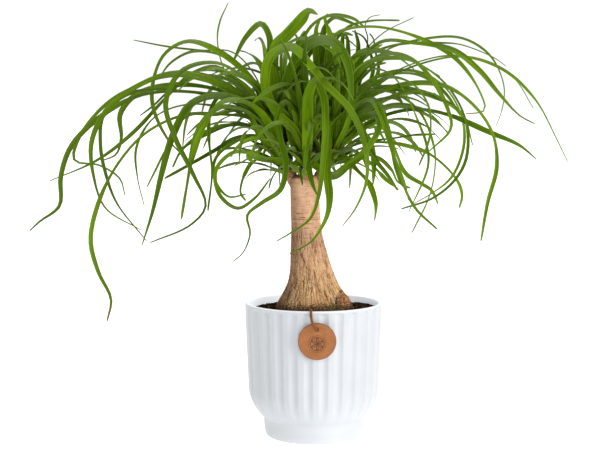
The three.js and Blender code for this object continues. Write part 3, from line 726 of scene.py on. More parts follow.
# %% Pot: sizes and profile
RIM_RADIUS = 75
POT_HEIGHT = 147
WALL = 5
SHOULDER_RADIUS = 71.2
SHOULDER_HEIGHT = 54
FOOT_RADIUS = 54.6
FOOT_HEIGHT = 21
FLUTES = 28
FLUTE_DEPTH = 1.9
FLUTE_TOP = 145
FLUTE_FADE = 2.5
RIB_SHARE = 0.4
FIRST_RIB = math.radians(-1.1)
COLUMNS_PER_FLUTE = 15
FOOT_CURVE = [
    (0, 0), (30, 0), (47.5, 0), (49.6, 0.35), (51.3, 1.4), (52.6, 3.2), (53.4, 6), (54, 10), (54.4, 15),
]
INSIDE_CURVE = [(63.4, 41), (58, 31), (50.5, 22), (44, 14), (20, 14), (0.2, 14)]
LIP_ROUNDING = 1.7
LIP_STEPS = 6
FOOT_FADE = 30
WALL_SLOPE = (RIM_RADIUS - SHOULDER_RADIUS) / (FLUTE_TOP - SHOULDER_HEIGHT)
CURVE_ROWS = 30
CURVE_CROWDING = 1.3
WALL_ROWS = 27
FINE_WALL_START = 140
FINE_WALL_ROWS = 12
INSIDE_TOP = 141
INSIDE_ROWS = 14


def body_radius(height):
    """Outside radius of the body: a curve up from the foot, then a slightly flaring wall."""
    height = np.asarray(height, float)
    drop = np.clip((SHOULDER_HEIGHT - height) / (SHOULDER_HEIGHT - FOOT_HEIGHT), 0, 1)
    low = FOOT_RADIUS + (SHOULDER_RADIUS - FOOT_RADIUS) * (1 - drop**2)
    high = SHOULDER_RADIUS + WALL_SLOPE * (height - SHOULDER_HEIGHT)
    return np.where(height < SHOULDER_HEIGHT, low, high)


def pot_profile():
    """Rows of radius and height, up the outside and down the inside, and how many have channels."""
    curve = FOOT_HEIGHT + (SHOULDER_HEIGHT - FOOT_HEIGHT) * np.linspace(0, 1, CURVE_ROWS) ** CURVE_CROWDING
    wall = np.linspace(SHOULDER_HEIGHT, FINE_WALL_START, WALL_ROWS + 1)[1:]
    fine_wall = np.linspace(FINE_WALL_START, FLUTE_TOP, FINE_WALL_ROWS + 1)[1:]
    rows = FOOT_CURVE + [(float(body_radius(z)), z) for z in np.concatenate([curve, wall, fine_wall])]
    channelled = len(rows)
    quarter = math.pi / 2
    for start, radius, side in ((0, RIM_RADIUS, -1), (quarter, RIM_RADIUS - WALL, 1)):
        for turn in np.linspace(start, start + quarter, LIP_STEPS):
            out = LIP_ROUNDING * (1 + side * math.cos(turn))
            rows.append((radius + side * out, POT_HEIGHT - LIP_ROUNDING * (1 - math.sin(turn))))
    down = np.linspace(INSIDE_TOP, SHOULDER_HEIGHT, INSIDE_ROWS)
    inside = [(float(body_radius(z)) - WALL, z) for z in down]
    return rows + inside + INSIDE_CURVE, channelled


# %% Pot: glaze
def glaze_finish():
    """White satin glaze: a trace of grey where it pools, fine ripples, and a few faint pinholes."""
    look = Finish("satin_glaze", Coat_Weight=0.25, Coat_Roughness=0.18, Specular_IOR_Level=0.45)
    place = look.place()
    cloud = look.noise(place, 0.025, 3.0)
    ripple = look.noise(place, 0.22, 2.0)
    speck = look.cells(place, 0.22)
    look.colour = look.shade(cloud, 0.3, 0.7, (0.525, 0.55, 0.58), (0.555, 0.575, 0.6))
    inside = look.read("inside")
    x, _, z = look.parts(place)
    # Painted light: the foot is lighter, most on the left.
    at_foot = look.between(z, 24, 18)
    look.paint(at_foot * look.between(x, 20, -45, 0.12, 0.4), (0.68, 0.69, 0.7))
    # Painted shade: the side towards the key light is darker, most near the foot.
    lit_side = look.between(x, 15, 62)
    look.paint(lit_side * look.between(z, 34, 16, 0.5, 1.0), (0.89, 0.88, 0.865), "MULTIPLY")
    # Painted light: the glaze inside is lighter.
    look.paint(inside, (0.93, 0.94, 0.95))
    pinhole = look.between(speck, 0.05, 0.02)
    look.paint(pinhole * 0.25, (0.45, 0.43, 0.4))
    look.wear("Roughness", look.between(cloud, 0.3, 0.7, 0.4, 0.5))
    # Painted light: the inside glows faintly, most on the left and below the lip.
    far_side = look.between(x, 50, -55) * look.between(z, POT_HEIGHT, 136, 0.6, 1.0)
    painted_glow = look.mix(far_side, (0.3, 0.33, 0.37), (0.47, 0.5, 0.53))
    look.wear("Emission Color", look.mix(inside, (0, 0, 0), painted_glow))
    look.wear("Emission Strength", 1.0)
    return look.done(ripple - pinhole * 0.4, 0.12)


# %% Pot: press the channels
def flute_tree(material):
    """Presses the channels into a plain round pot."""
    tree = Shaper("press_flutes", **{
        "Flutes": FLUTES, "Depth": FLUTE_DEPTH, "Rib Share": RIB_SHARE, "First Rib": FIRST_RIB,
        "Top": float(FLUTE_TOP), "Foot": float(FOOT_HEIGHT), "Fade": FLUTE_FADE,
    })
    x, y, z = tree.parts(tree.position())
    angle = tree.math("ARCTAN2", y, x) + math.pi / 2 - tree.given("First Rib")
    share = tree.math("FRACT", angle / TURN * tree.given("Flutes") + tree.given("Flutes"))
    across = (share - tree.given("Rib Share")) / (1 - tree.given("Rib Share"))
    hollow = tree.math("SINE", tree.math("MAXIMUM", across, 0.0) * math.pi)
    top, foot = tree.given("Top"), tree.given("Foot")
    at_top = tree.between(z, top - tree.given("Fade"), top, 1.0, 0.0)
    at_foot = tree.between(z, foot - 2, foot + FOOT_FADE)
    depth = hollow * at_top * at_foot * tree.stored("outside") * tree.given("Depth") * MM
    radial = tree.vector("NORMALIZE", tree.join(x, y, 0.0))
    tree.end(tree.move(tree.start, tree.sized(radial, depth * -1.0)), material)
    return tree


def make_pot():
    rows, channelled = pot_profile()
    sides = FLUTES * COLUMNS_PER_FLUTE
    angles = even_angles(sides, FIRST_RIB - math.pi / 2)
    rings = [[(r * math.cos(a), r * math.sin(a), z) for a in angles] for r, z in rows[1:]]
    order = np.arange(1, len(rows))
    shares = {"outside": order < channelled, "inside": np.clip((order - channelled) / LIP_STEPS, 0, 1)}
    numbers = {key: ended(np.repeat(share.astype(float), sides)) for key, share in shares.items()}
    return flute_tree(glaze_finish()).run(new_piece("pot", *loft(rings), numbers=numbers))


finish_piece(make_pot(), "glaze", "pot")

# %% [markdown]
# The trunk is a stem of pale cork. Low down, where it swells, the bark splits into fine upright fissures.
# Higher up it is smoother, with faint rings and a few dark broken ones left by old leaves. It ends in a
# rough dark scar, and a lump of old wood sits low on the right. The form comes from rows of height,
# middle and radius. One pattern of fissures and rings, worked out from noise, serves twice: Geometry
# Nodes press it into the surface, and the material darkens the same places.

# %% Trunk: form
TRUNK_ROWS = [
    (101, 1, 20), (107, 1, 32), (115, 1, 39.5), (126, 1, 43.4), (137, 1, 43.6), (143, 1, 41.6),
    (148, 0.9, 39.2), (153, 0.6, 36.2), (158, -0.1, 33.2), (163, -0.7, 30.3), (168, -1.2, 27.9),
    (174, -1.9, 25.7), (182, -3, 23.4), (191, -4.3, 21.6), (202, -5.6, 20), (214, -6.8, 18),
    (230, -8, 16.2), (249, -9.1, 15.9), (268, -9.6, 15.6), (279, -10.2, 15), (284, -10.8, 13.2),
]
TRUNK_END = (286, -11.6, 6.5)
TRUNK_TIP = (-11.9, 0, 286.1)
# Waves round the trunk: how high, how many, and the height over which they turn.
SWELLS = [(0.016, 5, 23), (0.011, 9, -11)]
LUMP_PLACE = (32, -24, 150)
LUMP_SIZE = (7.2, 6.6, 9)
LUMP_BLEND = 1.5
CREVICE_PLACE = 1.12
CREVICE_REACH = 0.3
CREVICE_DEPTH = 1.1
TRUNK_SIDES = 320
# Rows of the trunk: the lowest, the highest and how many.
BURIED_HEIGHTS = (101.2, 134, 12)
SHOWN_HEIGHTS = (134.8, 286, 220)
TRUNK_LINE_STEPS = 2000


def trunk_rows():
    """Fine rows of height, middle and radius, on a smooth line through the chosen rows."""
    chosen = np.array([*TRUNK_ROWS, TRUNK_END], float)
    line = Route(chosen).at(np.linspace(0, 1, TRUNK_LINE_STEPS))
    heights = np.concatenate([np.linspace(*BURIED_HEIGHTS), np.linspace(*SHOWN_HEIGHTS)])
    return heights, np.interp(heights, line[:, 0], line[:, 1]), np.interp(heights, line[:, 0], line[:, 2])


def swell(angle, height):
    """How much wider than round the trunk is: slow waves round it, which turn with the height."""
    waves = (size * np.sin(count * angle + height / turn) for size, count, turn in SWELLS)
    return sum(waves, 1)


def lump_reach(angle, height, middle):
    """Distance from the stem's middle to the lump's far side in one direction, or 0 where it is missed."""
    lift = (height - LUMP_PLACE[2]) / LUMP_SIZE[2]
    size = np.array(LUMP_SIZE[:2])
    way = np.stack([np.cos(angle), np.sin(angle)], axis=-1) / size
    start = (np.stack([middle, 0 * middle], axis=-1) - LUMP_PLACE[:2]) / size
    a = np.sum(way * way, axis=-1)
    b = np.sum(way * start, axis=-1)
    c = np.sum(start * start, axis=-1) + lift**2 - 1
    root = b * b - a * c
    return np.where(root > 0, (-b + np.sqrt(np.maximum(root, 0))) / a, 0)


def trunk_points():
    """Rings of the trunk, and how far each point is on the lump and in the crevice beside it."""
    heights, middles, radii = trunk_rows()
    angle = even_angles(TRUNK_SIDES)[None, :]
    z, middle, radius = (values[:, None] + 0 * angle for values in (heights, middles, radii))
    reach = radius * swell(angle, z)
    lump = lump_reach(angle + 0 * z, z, middle)
    on_lump = smooth_step((lump - reach) / LUMP_BLEND + 0.3) * (lump > 0)
    x = middle + reach * np.cos(angle)
    y = reach * np.sin(angle)
    from_lump = np.hypot((x - LUMP_PLACE[0]) / LUMP_SIZE[0], (z - LUMP_PLACE[2]) / LUMP_SIZE[2])
    crevice = smooth_step(1 - np.abs(from_lump - CREVICE_PLACE) / CREVICE_REACH)
    crevice = crevice * (y < 0) * (x < LUMP_PLACE[0] + 1) * (1 - on_lump)
    reach = np.maximum(reach, lump) - CREVICE_DEPTH * crevice
    rings = np.stack([middle + reach * np.cos(angle), reach * np.sin(angle), z], axis=-1)
    return rings, on_lump, crevice


# %% Trunk: the pattern in the bark
TRUNK_LEAN = 0.1
LEAN_HEIGHT = 150
RING_HEIGHTS = (229.5, 234, 240.5, 245)
LONG_RING = 238.5


def on_drum(tree, place, radius, stretch):
    """A place moved in to a drum of one radius, so that a pattern runs straight down the flaring bark."""
    x, y, z = tree.parts(place)
    across = x + (z - LEAN_HEIGHT) * TRUNK_LEAN
    away = tree.math("SQRT", across * across + y * y) * (1 / radius)
    return tree.join(across / away, y / away, z * stretch)


def bark_pattern(tree, place):
    """Fissures and rings from 0 to 1, at a place in millimetres."""
    z = tree.parts(place)[2]
    wide = abs(tree.noise(on_drum(tree, place, 28, 0.09), 0.5, 3.0, 0.55, 0.3) - 0.5)
    fine = abs(tree.noise(on_drum(tree, place, 38, 0.3), 1.05, 3.0, 0.6, 0.5) - 0.5)
    dashes = tree.between(tree.noise(on_drum(tree, place, 26, 0.25), 0.22, 2.0), 0.4, 0.52)
    low = tree.between(z, 242, 214)
    base = tree.between(z, 196, 168)
    fissure = tree.between(wide, 0.05, 0.012) * dashes * low
    fissure = tree.math("MAXIMUM", fissure, tree.between(fine, 0.06, 0.012) * (base * 0.35 + low * 0.35))
    wobble = tree.noise(place, 0.06, 2.0) * 6 - 3
    broken = tree.between(tree.noise(tree.scaled(place, (1, 1, 3.0)), 0.16, 3.0), 0.47, 0.56)
    ring = 0.0
    for height in RING_HEIGHTS:
        ring = tree.math("MAXIMUM", ring, tree.between(abs(z + wobble * 0.5 - height), 0.6, 0.15))
    long_ring = tree.between(abs(z + wobble * 0.2 - LONG_RING), 0.6, 0.15)
    return fissure, tree.math("MAXIMUM", ring * broken, long_ring * 0.85)


# %% Trunk: bark finish
def bark_finish():
    """Tan cork with red-brown fissures: earthy and golden low down, pinkish above, a dark scar on top.

    Painted shade darkens the left side, the lump is rusty, and there is some moss low on the right.
    """
    look = Finish("cork_bark", Roughness=0.88, Specular_IOR_Level=0.12)
    place = look.place()
    x, y, z = look.parts(place)
    fissure, ring = bark_pattern(look, place)
    grain = look.noise(place, 0.9, 4.0, 0.7)
    patches = look.noise(look.scaled(place, (1, 1, 0.5)), 0.07, 3.0, 0.6)
    streaks = look.noise(on_drum(look, place, 32, 0.07), 0.62, 4.0, 0.65)
    layers = look.noise(look.scaled(place, (0.08, 0.08, 1)), 0.9, 2.0)
    low = look.between(z, 215, 165)
    look.colour = look.shade(patches, 0.35, 0.65, (0.58, 0.33, 0.19), (0.74, 0.46, 0.285))
    golden = look.shade(patches, 0.4, 0.6, (0.88, 0.52, 0.225), (0.98, 0.66, 0.33))
    look.paint(low * 0.8, golden)
    look.paint(look.between(streaks, 0.48, 0.64) * (low * 0.2 + 0.3), (0.38, 0.16, 0.065))
    look.paint(look.between(layers, 0.5, 0.62) * (1 - low) * 0.45, (0.36, 0.2, 0.12))
    look.paint(look.between(grain, 0.5, 0.34) * 0.35, (0.34, 0.17, 0.08))
    look.paint(look.between(grain, 0.56, 0.7) * 0.5, (0.92, 0.68, 0.46))
    look.paint(fissure * 0.92, (0.13, 0.045, 0.018))
    look.paint(ring * 0.85, (0.12, 0.045, 0.022))
    # Painted shade: the side away from the light is darker.
    painted_left_shade = look.between(look.read("side") + (patches - 0.5) * 0.6, -0.15, -0.95)
    look.paint(painted_left_shade * 0.6, (0.36, 0.32, 0.33), "MULTIPLY")
    knob = look.read("knob")
    rusty = look.shade(grain, 0.42, 0.58, (0.12, 0.035, 0.014), (0.6, 0.25, 0.12))
    look.paint(knob * 0.85, rusty)
    # The crevice beside the lump is painted nearly black.
    look.paint(look.read("crevice") * look.between(grain, 0.62, 0.45), (0.016, 0.012, 0.006))
    specks = look.noise(place, 0.55, 4.0, 0.75)
    damp = look.between(z + specks * 30 - 15 - x * 0.07, 152.5, 145)
    earth = look.shade(grain, 0.46, 0.62, (0.015, 0.007, 0.004), (0.15, 0.07, 0.03))
    look.paint(damp * (0.92 - knob * 0.6), earth)
    moss_bed = look.between(z, 176, 158) * look.between(x, 0, 14) * look.between(y, 5, -10)
    moss = look.between(look.cells(place, 0.5), 0.24, 0.12) * moss_bed
    look.paint(moss * 0.9, (0.12, 0.34, 0.015))
    scar = look.between(z + grain * 5 - x * 0.15, 286, 290)
    look.paint(scar * 0.9, (0.16, 0.05, 0.03))
    return look.done(grain * 0.6 + layers * 0.2 - fissure * 0.5, 0.5)


# %% Trunk: press the bark in
def bark_tree(material):
    """Presses fissures and rings into the trunk, and roughens it, most on the lump and at the top."""
    tree = Shaper("bark", **{"Fissure Depth": 0.9, "Ring Depth": 0.5, "Roughness": 0.8})
    place = tree.position()
    z = tree.parts(place)[2]
    fissure, ring = bark_pattern(tree, place)
    rough = tree.noise(place, 0.4, 3.0, 0.6) - 0.5
    crown = tree.between(z, 279, 284) * (tree.noise(place, 0.5, 3.0) - 0.4) * 2.4
    warts = tree.stored("knob") * (tree.noise(place, 0.4, 3.0, 0.7) - 0.45) * 3.5
    depth = rough * tree.given("Roughness") + crown + warts
    depth = depth - fissure * tree.given("Fissure Depth") - ring * tree.given("Ring Depth")
    normal = tree.make("GeometryNodeInputNormal")
    shown = tree.between(z, 132, 137)
    tree.end(tree.move(tree.start, tree.sized(normal, depth * shown * MM)), material)
    return tree


def make_trunk():
    rings, on_lump, crevice = trunk_points()
    points, faces = loft(rings)
    points[-1] = TRUNK_TIP
    side = np.cos(even_angles(TRUNK_SIDES))[None, :] + 0 * on_lump
    numbers = {"knob": on_lump, "crevice": crevice, "side": side}
    numbers = {key: ended(values.ravel()) for key, values in numbers.items()}
    return bark_tree(bark_finish()).run(new_piece("trunk", points, faces, numbers=numbers))


finish_piece(make_trunk(), "bark", "trunk")

# %% [markdown]
# The soil is dark potting mix: a low uneven mound, a little higher at the right, with crumbs, bits of
# bark and fibre on it. A flat disc with a bumpy material would give itself away at the rim, where the
# photo looks along it. So the mound is a mesh, and Geometry Nodes scatter real crumbs over it.

# %% Soil: the mound
SOIL_LEVEL = 138.5
SOIL_GAP = 0.3
SOIL_MOUND = 1.6
MOUND_EDGE = 66
MOUND_RUN = 20
HEAP_HEIGHT = 2.4
HEAP_PLACE = (47, 8)
HEAP_SPREAD = (14, 24)
RIGHT_RISE = 1.5
RISE_START = 38
RISE_RUN = 20
GRAIN_RUN = 4
SOIL_FOOT = [(43.7, 14.3), (50.2, 22), (57.7, 31), (63.1, 41)]
SOIL_WALL_HEIGHTS = (54, 90, 120, 137)
SOIL_HOLE_HEIGHTS = (132, 128, 122, 115, 107, 101.5)
HOLE_OVERLAP = 0.4
SOIL_SIDES = 240
SOIL_ROWS = 40
SOIL_ROUGHNESS = 1.6
CRUMB_DENSITY = 0.14
CRUMB_SIZE = 1.25


def soil_height(x, y):
    """Height of the soil: a wide mound, a heap on it, a rise at the right, and lumps and hollows."""
    radius = np.hypot(x, y)
    mound = SOIL_MOUND * smooth_step((MOUND_EDGE - radius) / MOUND_RUN)
    across, away = (x - HEAP_PLACE[0]) / HEAP_SPREAD[0], (y - HEAP_PLACE[1]) / HEAP_SPREAD[1]
    heap = HEAP_HEIGHT * np.exp(-(across**2) - away**2)
    mound = mound + heap + RIGHT_RISE * smooth_step((x - RISE_START) / RISE_RUN)
    grain = 0.5 * np.sin(x / 4.1 + 1) * np.cos(y / 3.7) + 0.35 * np.sin((x - y) / 2.9)
    return SOIL_LEVEL + mound + grain * smooth_step((MOUND_EDGE - radius) / GRAIN_RUN)


def soil_rings():
    """Rings from the bottom up the outside, in over the mound to the trunk, and down round its base."""
    heights, middles, radii = trunk_rows()
    angle = even_angles(SOIL_SIDES)
    inside = SHOULDER_RADIUS - WALL
    wall = [(inside + WALL_SLOPE * (z - SHOULDER_HEIGHT) - SOIL_GAP, z) for z in SOIL_WALL_HEIGHTS]
    outside = SOIL_FOOT + wall
    rings = [np.stack([r * np.cos(angle), r * np.sin(angle), z + 0 * angle], -1) for r, z in outside]

    def round_trunk(z):
        reach = np.interp(z, heights, radii) * swell(angle, z) - HOLE_OVERLAP
        return np.interp(z, heights, middles) + reach * np.cos(angle), reach * np.sin(angle)

    edge = np.array([rings[-1][:, 0], rings[-1][:, 1]])
    inner = np.array(round_trunk(SOIL_LEVEL + SOIL_MOUND))
    for share in np.linspace(0, 1, SOIL_ROWS):
        x, y = blend(edge, inner, share)
        rings.append(np.stack([x, y, soil_height(x, y)], -1))
    for z in SOIL_HOLE_HEIGHTS:
        x, y = round_trunk(z)
        rings.append(np.stack([x, y, z + 0 * angle], -1))
    return rings


# %% Soil: finish and crumbs
def soil_finish():
    """Damp peat: near black, redder at the right, with browner crumbs and a few tan or green bits."""
    look = Finish("potting_soil", Roughness=0.95, Specular_IOR_Level=0.08)
    place = look.place()
    grain = look.noise(place, 1.1, 5.0, 0.7)
    patch = look.noise(place, 0.07, 2.0)
    x = look.parts(place)[0]
    dark = look.shade(grain, 0.35, 0.68, (0.004, 0.003, 0.001), (0.035, 0.022, 0.01))
    red = look.shade(grain, 0.35, 0.68, (0.008, 0.0035, 0.002), (0.042, 0.019, 0.01))
    look.colour = look.shade(x + patch * 30, -15, 35, dark, red)
    tone = look.read("tone")
    look.paint(look.between(tone, 0.86, 0.9) * 0.8, (0.2, 0.1, 0.045))
    look.paint(look.between(tone, 0.97, 0.98) * 0.8, (0.16, 0.2, 0.07))
    return look.done(grain, 0.8)


def crumb_tree(material):
    """Roughens the top of the mound, and scatters ragged crumbs of many sizes over it."""
    tree = Shaper("crumbs", Density=CRUMB_DENSITY, Size=CRUMB_SIZE, Seed=SEED)
    point = tree.position()
    rough = tree.join(0.0, 0.0, (tree.noise(point, 0.5, 3.0, 0.6) - 0.5) * SOIL_ROUGHNESS * MM)
    top = tree.stored("top")
    ground = tree.move(tree.start, tree.sized(rough, top))
    where = {"Mesh": ground, "Density": tree.given("Density") * top / (MM * MM), "Seed": tree.given("Seed")}
    points = tree.make("GeometryNodeDistributePointsOnFaces", sockets=where, output="Points")
    ball = tree.make("GeometryNodeMeshIcoSphere", sockets={"Radius": MM, "Subdivisions": 2})
    stretch = tree.join(tree.random(0.5, 1.5, 3), tree.random(0.5, 1.1, 4), tree.random(0.4, 0.9, 5))
    small = tree.random(0.0, 1.0, 6) ** 2.5 * 1.1 + 0.35
    size = tree.sized(stretch, small * tree.given("Size"))
    spin = tree.join(tree.random(0.0, TURN, 7), tree.random(0.0, TURN, 8), tree.random(0.0, TURN, 9))
    tuned = tree.store(points, "tone", tree.random(0.0, 1.0, 10))
    placed = {"Points": tuned, "Instance": ball, "Scale": size, "Rotation": spin}
    crumbs = tree.make("GeometryNodeInstanceOnPoints", sockets=placed)
    real = tree.make("GeometryNodeRealizeInstances", sockets={"Geometry": crumbs})
    uneven = {"Vector": point, "Scale": 0.8, "Detail": 3.0}
    ragged = tree.make("ShaderNodeTexNoise", sockets=uneven, output="Color")
    pulled = tree.vector("SUBTRACT", ragged, (0.5, 0.5, 0.5))
    crumbly = tree.move(real, tree.sized(pulled, SOIL_ROUGHNESS * MM))
    joined = tree.make("GeometryNodeJoinGeometry")
    for part in (ground, crumbly):
        tree.feed(joined.socket.node.inputs[0], part)
    tree.end(joined, material)
    return tree


def make_soil():
    rings = soil_rings()
    first = len(SOIL_FOOT) + len(SOIL_WALL_HEIGHTS) + 1
    on_top = np.zeros((len(rings), SOIL_SIDES))
    on_top[first:first + SOIL_ROWS - 1] = 1
    numbers = {"top": ended(on_top.ravel())}
    return crumb_tree(soil_finish()).run(new_piece("soil", *loft(rings), numbers=numbers))


finish_piece(make_soil(), "soil", "soil")

# %% [markdown]
# The crown is three heads of strap leaves. Each leaf leaves its head upwards, bends over and hangs. The
# leaves that the photo shows clearly are chosen one by one, as places seen from the front. A rule grows
# the rest, for the back and for the middle of each head. It draws a slope, a droop and a length, and
# tries again where a leaf would run into another. The draws come from a seed, so the crown is the same
# every time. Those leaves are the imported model's own. To make the crown as dense as the photo's, the
# surface here adds some more at the front, young ones that stand up in the heart of each head, and short
# old ones that hang round the stems like a skirt.

# %% Leaves: the chosen ones
HEADS = {
    "left": ((-20, 2, 276), (-47, -1, 331)),
    "middle": ((-9, -8, 277), (-8, -14, 328)),
    "right": ((1, 3, 276), (32, 6, 326)),
}
HEAD_RADII = (6.6, 4.6)

# By head: the widest width, how far the tip comes forward, how many degrees the upper face is turned to
# the front at the root and at the tip, and places (x, z) on the way. Where a leaf thins early or late, the
# share of its length at which that starts stands beside the width, then in some rows a power for how fast.
CHOSEN_LEAVES = {
    "middle": [
        ((12, 0.25, 1.0), 118, 70, 70, (-7, 350), (-6, 374), (2, 389), (11, 372), (13, 340), (10, 299),
         (5, 261), (-4, 238), (-26, 222), (-40, 214)),
        ((8.5, 0.42, 1.2), 92, 60, 60, (-19, 347), (-31, 364), (-39, 350), (-36, 328), (-30, 300),
         (-36, 270), (-57, 255), (-72, 242), (-69, 222), (-77, 201), (-87, 192)),
        ((10.6, 0.45), 96, 74, 58, (-38, 352), (-52, 382), (-46, 414), (-24, 423), (-4, 403),
         (13, 383), (39, 356), (55, 318), (57, 281), (46, 251), (31, 230)),
        ((8.5, 0.64, 2.0), 128, 80, 80, (6, 348), (15, 326), (15, 286), (17, 258), (13, 238),
         (-3, 213), (-26, 200)),
        (6, 62, 60, 40, (-6, 316), (-5, 292), (-1, 274), (5, 261)),
        ((12.4, 0.9), 22, 80, 70, (-26, 350), (-41, 388), (-41, 423), (-28, 437), (-13, 453),
         (-5, 462), (4, 458)),
        (5, 40, 40, 40, (-15, 348), (-32, 384), (-33, 420), (-17, 432), (-1, 431), (13, 424),
         (25, 413), (29, 402)),
        (12, -12, 60, 60, (-4, 352), (4, 392), (10, 428), (12, 448)),
        (11, 30, 65, 50, (2, 345), (14, 378), (17, 412), (13, 434)),
        (10, -30, 60, 60, (-14, 352), (-22, 392), (-18, 426), (-8, 441)),
        (6.5, -60, 55, 45, (-10, 370), (-14, 420), (-2, 446), (18, 457), (42, 454), (54, 445)),
    ],
    "left": [
        ((9.4, 0.45), 30, 50, 40, (-62, 352), (-101, 382), (-145, 395), (-184, 384), (-222, 357),
         (-240, 322), (-238, 283), (-226, 250), (-188, 226)),
        ((5.8, 0.87), -14, 5, 85, (-72, 360), (-134, 375), (-188, 371), (-229, 350), (-262, 318),
         (-274, 285), (-276, 252), (-298, 235), (-309, 225)),
        ((5, 0.92), 62, -50, 95, (-68, 345), (-101, 351), (-137, 351), (-180, 332), (-211, 299),
         (-234, 255), (-243, 215), (-235, 181), (-221, 150), (-226, 126)),
        ((7.4, 0.35), -40, 50, 50, (-72, 372), (-105, 401), (-132, 394), (-162, 366), (-195, 332),
         (-236, 301), (-287, 279)),
        ((9.8, 0.5, 0.75), 48, 60, 60, (-72, 362), (-101, 371), (-132, 362), (-153, 326), (-164, 290),
         (-175, 246), (-187, 209)),
        ((7, 0.5), -22, 50, 50, (-70, 392), (-105, 420), (-136, 429), (-160, 416), (-172, 390),
         (-174, 362), (-160, 328), (-136, 301)),
        (3.4, -60, 30, 60, (-68, 385), (-98, 413), (-130, 419), (-154, 407), (-167, 390)),
        (2.6, -36, 30, 30, (-62, 390), (-88, 418), (-122, 420), (-157, 424), (-194, 431)),
        (2.4, -16, 30, 30, (-75, 370), (-97, 400), (-104, 431), (-101, 451), (-92, 471)),
        (9.5, 6, 70, 60, (-46, 360), (-48, 405), (-49, 436), (-57, 448), (-73, 434), (-87, 408)),
        (7.5, 66, 40, -40, (-60, 312), (-88, 311), (-107, 291), (-103, 264), (-83, 249), (-64, 260),
         (-47, 282)),
        (6, 34, 40, -30, (-58, 328), (-84, 322), (-106, 303), (-107, 282), (-93, 263), (-74, 265)),
        (8, -26, 30, 50, (-62, 326), (-85, 324), (-110, 310), (-141, 293), (-162, 282)),
        (4.5, 20, 50, 50, (-56, 306), (-69, 297), (-77, 280), (-79, 266), (-74, 258)),
        (4.5, -44, 60, 60, (-68, 364), (-98, 374), (-112, 355), (-113, 325), (-110, 288), (-115, 247)),
        (7, 24, 60, 60, (-74, 354), (-104, 358), (-121, 336), (-131, 306), (-138, 270), (-144, 238)),
        (7, -12, 40, 60, (-68, 338), (-98, 338), (-124, 327), (-143, 312), (-153, 294)),
        (5.5, 44, 50, 60, (-66, 382), (-104, 406), (-142, 398), (-160, 364), (-150, 326), (-131, 288),
         (-117, 252), (-134, 231), (-178, 212)),
        ((4.2, 0.94), -56, 50, 60, (-84, 376), (-150, 392), (-214, 370), (-252, 330), (-259, 302),
         (-233, 297), (-210, 282), (-205, 264)),
        ((6.4, 0.78), -28, 70, 75, (-78, 368), (-142, 383), (-190, 374), (-209, 352), (-208, 326),
         (-214, 308), (-230, 301)),
        (4, 4, 50, 50, (-76, 358), (-140, 376), (-198, 374), (-227, 351), (-231, 318), (-226, 289),
         (-214, 256), (-182, 214)),
        (3, 12, 40, 40, (-78, 352), (-134, 362), (-172, 348), (-192, 316), (-191, 283), (-184, 252)),
    ],
    "right": [
        (3.4, 10, 50, 50, (44, 360), (75, 387), (114, 405), (162, 413), (205, 399), (239, 367),
         (263, 324), (275, 300)),
        (2.8, -34, 50, 50, (42, 380), (75, 418), (123, 433), (160, 433), (190, 414), (205, 381),
         (203, 356), (197, 339)),
        (4.8, -6, 50, 50, (24, 372), (13, 410), (24, 437), (61, 445), (111, 434), (153, 411),
         (180, 373), (184, 356), (164, 352)),
        (6.4, 40, 50, 50, (38, 388), (71, 428), (110, 427), (150, 420), (178, 399), (200, 373),
         (222, 350), (239, 341)),
        (6.6, 30, 40, 50, (46, 334), (78, 350), (111, 356), (146, 350), (190, 332), (222, 318),
         (241, 303)),
        ((6.8, 0.5), -40, 40, 60, (48, 362), (80, 379), (112, 377), (141, 366), (161, 350), (172, 318)),
        ((7.2, 0.5), 60, 60, 50, (44, 386), (72, 414), (100, 413), (126, 390), (145, 356), (148, 336),
         (124, 311)),
        (3.6, 22, 60, 60, (46, 384), (84, 413), (122, 400), (149, 375), (165, 340), (165, 303),
         (152, 279), (128, 260), (95, 249)),
        (5.6, 50, 40, 60, (52, 366), (100, 384), (140, 382), (172, 361), (193, 330), (198, 294),
         (189, 256), (182, 214)),
        (3.6, -30, 30, 40, (50, 322), (84, 325), (110, 329), (131, 330)),
        (4.6, 32, 40, 50, (52, 320), (86, 320), (118, 312), (141, 296), (158, 275), (161, 262),
         (158, 250)),
        ((7, 0.45), 72, 60, 60, (48, 358), (68, 362), (77, 337), (86, 306), (96, 277), (110, 250),
         (134, 227)),
        (3.6, 52, 60, 60, (50, 372), (80, 391), (106, 384), (122, 364), (126, 345), (124, 322),
         (114, 296)),
        (2.8, 34, 60, 60, (54, 358), (90, 371), (116, 352), (130, 316), (131, 292), (125, 262),
         (107, 223)),
        (5.5, -64, 40, 40, (24, 382), (22, 424), (36, 444), (60, 451), (92, 452)),
        (2.4, -84, 30, 30, (38, 372), (52, 414), (74, 438), (107, 455)),
        (4.5, 22, 40, 50, (50, 308), (72, 303), (84, 291), (91, 278), (104, 272)),
        (2.6, -50, 30, 40, (38, 376), (56, 418), (58, 434), (55, 446), (60, 455), (71, 458)),
        (5.5, -20, 50, 50, (32, 372), (36, 402), (52, 419), (80, 418), (108, 400)),
        (5, 28, 50, 50, (36, 372), (46, 398), (66, 410), (100, 410), (136, 392)),
        (8, 74, 60, 60, (50, 346), (68, 350), (70, 334), (64, 322), (56, 309)),
        (6.5, 52, 60, 60, (32, 306), (46, 291), (60, 276), (67, 256), (66, 236)),
        (6, 12, 60, 60, (46, 334), (60, 325), (65, 300), (64, 275)),
        (5, 18, 60, 60, (42, 312), (60, 299), (75, 284), (92, 270)),
        ((5.5, 0.5), 92, 60, 60, (44, 358), (60, 366), (72, 346), (82, 320), (90, 298), (98, 278),
         (103, 258)),
        (12, 38, 70, 60, (38, 358), (41, 386), (35, 410), (24, 425), (8, 430), (-12, 430)),
        (10.5, 8, 65, 60, (30, 362), (26, 398), (20, 430), (16, 446)),
        (9.5, -16, 60, 60, (36, 362), (44, 396), (48, 426), (44, 442)),
    ],
}

